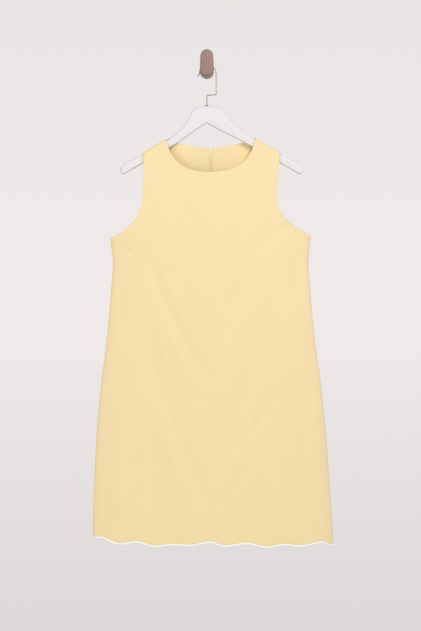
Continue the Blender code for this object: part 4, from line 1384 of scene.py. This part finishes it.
def draw_arm(side, top, under):
    """Extrudes one end of the block through the sections of its arm."""
    pick(faces_toward((side, 0, 0)))
    x, y, full = side * HANGER_STEP / 2, HANGER_Y, 1.0
    for far, next_top, next_under, share in hanger_sections():
        next_x = side * far + HANGER_X * float(smooth_step(0, ARM_START, far))
        next_y = float(hanger_y(next_x))
        draw_out((next_x - x, next_y - y, next_top - top))
        middle = (next_top + under + next_top - top) / 2
        lower_by = (next_under - under) - (next_top - top)
        work = bmesh.from_edit_mesh(bpy.context.object.data)
        end = [vertex for vertex in work.verts if vertex.select]
        for vertex in end:
            if vertex.co.z < middle:
                vertex.co.z += lower_by
        if share < 1:
            centre = (next_top + next_under) / 2
            for vertex in end:
                vertex.co.y = next_y + (vertex.co.y - next_y) * share / full
                vertex.co.z = centre + (vertex.co.z - centre) * share / full
        bmesh.update_edit_mesh(bpy.context.object.data)
        x, y, top, under, full = next_x, next_y, next_top, next_under, share


def make_hook(metal):
    """One round wire: a flared tip, the bend over the peg, a side, a step in and a stem."""
    left = Vector((HOOK_X - HOOK_RADIUS, HANGER_Y, HOOK_CENTRE_Z))
    heading = HOOK_TIP_TURN
    across = Vector((math.cos(heading) - 1, 0, -math.sin(heading))) * HOOK_TIP_BEND
    tip = left + across - Vector((math.sin(heading), 0, math.cos(heading))) * HOOK_TIP_LENGTH
    step = Vector((-HOOK_X - HOOK_RADIUS, 0, HOOK_STEM_TOP_Z - HOOK_SIDE_Z))
    corner = math.pi / 2 + math.atan2(step.z, -step.x)
    cut = WIRE_BEND * math.tan(corner / 2)
    ferrule_top = float(hanger_top(0)) + GAP + FERRULE_HEIGHT
    piece = add_piece(
        "gold_hook", bpy.ops.mesh.primitive_circle_add,
        vertices=WIRE_SIDES, radius=WIRE_RADIUS, location=tip, rotation=(0, heading, 0),
    )
    edit_mode(True)
    bpy.ops.mesh.select_mode(type="EDGE")
    bpy.ops.mesh.select_all(action="SELECT")
    route = (
        (HOOK_TIP_LENGTH, -HOOK_TIP_TURN, HOOK_TIP_BEND),
        (0, math.pi, HOOK_RADIUS),
        (HOOK_CENTRE_Z - HOOK_SIDE_Z - cut, corner, WIRE_BEND),
        (step.length - 2 * cut, -corner, WIRE_BEND),
        (HOOK_STEM_TOP_Z - cut - ferrule_top - GAP, 0, WIRE_BEND),
    )
    place = tip
    for length, turn, radius in route:
        ahead = Vector((math.sin(heading), 0, math.cos(heading)))
        if length:
            draw_out(ahead * length)
            place = place + ahead * length
        if turn:
            right = Vector((math.cos(heading), 0, -math.sin(heading))) * math.copysign(1, turn)
            centre = place + right * radius
            steps = max(LEAST_BEND_STEPS, round(abs(turn) * radius / WIRE_BEND_STEP))
            bpy.ops.mesh.spin(
                steps=steps, angle=-turn, center=centre, axis=(0, 1, 0), use_auto_merge=False
            )
            heading += turn
            back = Vector((math.cos(heading), 0, -math.sin(heading))) * math.copysign(1, turn)
            place = centre - back * radius
    bpy.ops.mesh.select_all(action="SELECT")
    bpy.ops.mesh.remove_doubles(threshold=TINY)
    bpy.ops.mesh.select_all(action="SELECT")
    bpy.ops.mesh.fill_holes(sides=0)
    bpy.ops.mesh.select_all(action="SELECT")
    bpy.ops.mesh.normals_make_consistent(inside=False)
    pick(lambda edge: any(len(face.verts) == WIRE_SIDES for face in edge.link_faces), "edges")
    round_edges(WIRE_END_ROUND, 3)
    edit_mode(False)
    smooth_piece(piece, 40)
    settle(piece, metal, ["hook_wire"])


def make_ferrule(metal):
    """A thin round flange on the hanger's top with a short collar for the wire."""
    foot = float(hanger_top(0)) + GAP
    piece = add_round(
        "hook_collar", (0, HANGER_Y, foot + FERRULE_FLANGE / 2), FERRULE_RADIUS, FERRULE_FLANGE, "Z"
    )
    edit_mode(True)
    pick(faces_toward((0, 0, 1)))
    bpy.ops.mesh.inset(thickness=FERRULE_RADIUS - FERRULE_FOOT)
    draw_out((0, 0, FERRULE_HEIGHT - FERRULE_FLANGE))
    scale_about((0, HANGER_Y, foot), (FERRULE_TAPER, FERRULE_TAPER, 1))
    pick(both_rims((0, 0, 1)), "edges")
    round_edges(FERRULE_ROUND, 2)
    edit_mode(False)
    smooth_piece(piece)
    settle(piece, metal, ["hook_ferrule"])


def make_peg(wood):
    """A turned body and saddle, and a tall plate with round ends that keeps the hook on."""
    middle = (0, -PEG_BODY_DEPTH / 2, 0)
    body = add_round("wooden_peg", middle, PEG_RADIUS, PEG_BODY_DEPTH, "Y", sides=PEG_SIDES)
    edit_mode(True)
    pick(both_rims((0, -1, 0)), "edges")
    round_edges(PEG_CHAMFER, 4)
    pick(faces_toward((0, -1, 0), 0.999))
    bpy.ops.mesh.inset(thickness=PEG_RADIUS - PEG_CHAMFER - PEG_SADDLE)
    draw_out((0, PEG_BODY_DEPTH - PEG_SADDLE_END - PEG_CHAMFER, 0))
    edit_mode(False)
    thick = PEG_DEPTH - PEG_SADDLE_END
    middle = (0, -PEG_SADDLE_END - thick / 2, 0)
    plate = add_round("peg_plate", middle, PEG_RADIUS, thick, "Y", sides=PEG_SIDES)
    edit_mode(True)
    pick(lambda vertex: vertex.co.z > TINY, "verts")
    bpy.ops.transform.translate(value=(0, 0, PEG_TOP - PEG_RADIUS))
    scale_about((0, 0, 0), (PEG_TAPER, 1, 1))
    pick(both_rims((0, -1, 0)), "edges")
    round_edges(PEG_CHAMFER, 4)
    edit_mode(False)
    join_solids(body, plate)
    smooth_piece(body)
    settle(body, wood, ["wall_peg"])


def make_slider(pin, metal):
    """The slider: a tapered body with a raised bridge, two ears and the riveted cross pin."""
    x, y, z = pin
    body_y = y - EYE_RADIUS - GAP - SLIDER_THICKNESS / 2
    middle = (x, body_y, z)
    body = add_block("slider_body", middle, (SLIDER_WIDTH, SLIDER_THICKNESS, SLIDER_LENGTH))
    edit_mode(True)
    pick(faces_toward((0, 0, -1)))
    scale_about(middle, SLIDER_TAIL)
    pick(faces_toward((0, 0, 1)))
    scale_about(middle, SLIDER_NOSE)
    pick(faces_toward((0, 1, 0), 0.8))
    bpy.ops.mesh.inset(thickness=SLIDER_RIM)
    draw_out((0, SLIDER_BRIDGE, 0))
    pick(sharp_edges(25), "edges")
    round_edges(SLIDER_ROUND, 3)
    edit_mode(False)
    ear_out = EYE_WIDTH / 2 + GAP + EAR_THICKNESS / 2
    for side in (-1, 1):
        ear_x = x + side * ear_out
        foot = add_block(
            "ear_foot", (ear_x, (body_y + y) / 2, z), (EAR_THICKNESS, y - body_y, EAR_LENGTH)
        )
        join_solids(body, foot)
        head = add_round("ear_head", (ear_x, y, z), EYE_RADIUS, EAR_THICKNESS, "X", sides=28)
        join_solids(body, head)
    join_solids(body, add_round("cross_pin", pin, PIN_RADIUS, 2 * ear_out, "X", sides=20))
    smooth_piece(body)
    settle(body, metal, ["zip_slider"])


def make_tab(pin, metal):
    """The pull tab: an eye round the pin and a drop-shaped plate with a sunk field."""
    x, y, z = pin
    middle = (x, y, z - (TAB_START + TAB_NECK_END) / 2)
    tab = add_block("pull_tab", middle, (EYE_WIDTH, TAB_THICKNESS, TAB_NECK_END - TAB_START))
    edit_mode(True)
    pick(faces_toward((0, 0, -1)))
    width, far = EYE_WIDTH, TAB_NECK_END
    for share, down in TAB_OUTLINE:
        next_far = TAB_NECK_END + (TAB_LENGTH - TAB_NECK_END) * down
        draw_out((0, 0, far - next_far))
        scale_about(pin, (TAB_WIDTH * share / width, 1, 1))
        width, far = TAB_WIDTH * share, next_far
    pick(lambda face: abs(face.normal.y) > 0.9 and face.calc_center_median().z < z - TAB_NECK_END)
    bpy.ops.mesh.inset(thickness=TAB_RIM, use_boundary=True)
    scale_about(pin, (1, TAB_FIELD, 1))
    pick(sharp_edges(50), "edges")
    round_edges(TAB_ROUND, 2)
    edit_mode(False)
    join_solids(tab, add_round("tab_eye", pin, EYE_RADIUS, EYE_WIDTH, "X", sides=32))
    bore = add_round("tab_bore", pin, EYE_BORE, EYE_WIDTH * 3, "X", sides=32)
    join_solids(tab, bore, "DIFFERENCE")
    smooth_piece(tab)
    settle(tab, metal, ["zip_pull"], body="zip_pull")


def make_room():
    """Camera, floor, three soft lights and a pale surrounding."""
    camera = bpy.data.objects.new("camera", bpy.data.cameras.new("camera"))
    camera.data.lens = LENS
    camera.data.sensor_width = SENSOR
    camera.location = CAMERA
    camera.rotation_euler = (math.pi / 2, 0, 0)
    bpy.context.scene.collection.objects.link(camera)
    bpy.context.scene.camera = camera
    bpy.ops.object.select_all(action="DESELECT")
    bpy.ops.mesh.primitive_circle_add(
        vertices=96, radius=FLOOR_RADIUS, fill_type="NGON", location=(0, 0, FLOOR_Z)
    )
    floor = bpy.context.object
    floor.name = "floor"
    floor.data.materials.append(floor_paint())
    for name, place, size, energy, colour in LAMPS:
        light = bpy.data.lights.new(name, "AREA")
        light.shape = "DISK"
        light.size = size
        light.energy = energy
        light.color = colour
        lamp = bpy.data.objects.new(name, light)
        lamp.location = place
        lamp.visible_camera = False
        lamp.visible_glossy = name != "behind"
        aim = Vector(LAMP_AIM) - Vector(place)
        lamp.rotation_euler = aim.to_track_quat("-Z", "Y").to_euler()
        bpy.context.scene.collection.objects.link(lamp)
    world = bpy.data.worlds.new("room")
    world.use_nodes = True
    bpy.context.scene.world = world
    nodes = Nodes(world.node_tree)
    direction = nodes.node("ShaderNodeTexCoord", out="Generated")
    _, _, up = nodes.parts(direction)
    seen = nodes.node("ShaderNodeValToRGB", {"stops": SKY_STOPS}, {0: up + 0.5})
    camera_ray = nodes.node("ShaderNodeLightPath", out="Is Camera Ray")
    given = nodes.mix(up.between(*ROOM_TURN), ROOM_BELOW, ROOM_ABOVE)
    background = world.node_tree.nodes["Background"]
    world.node_tree.links.new(nodes.mix(camera_ray, given, seen).socket, background.inputs["Color"])
    bpy.context.scene.view_settings.view_transform = "Standard"
    bpy.context.scene.view_settings.look = "None"


def main():
    cloth = crepe("butter_yellow_crepe")
    lining = crepe("facing_crepe", FACING_PAINTED_GLOW)
    white = bias_strip()
    wire = gold_wire()
    metal = enamel()
    pin = tuple(frame["record"]["behaviour"]["joints"][0]["pos_m"])
    make_peg(peg_wood())
    make_hook(wire)
    make_ferrule(wire)
    make_hanger(lacquer())
    make_front(cloth, white)
    make_back(-1, "left", cloth, lining, white)
    grid, normals = make_back(1, "right", cloth, lining, white)
    make_zip(grid, normals, zip_cloth(), coil_yarn())
    make_slider(pin, metal)
    make_tab(pin, metal)
    make_room()


main()
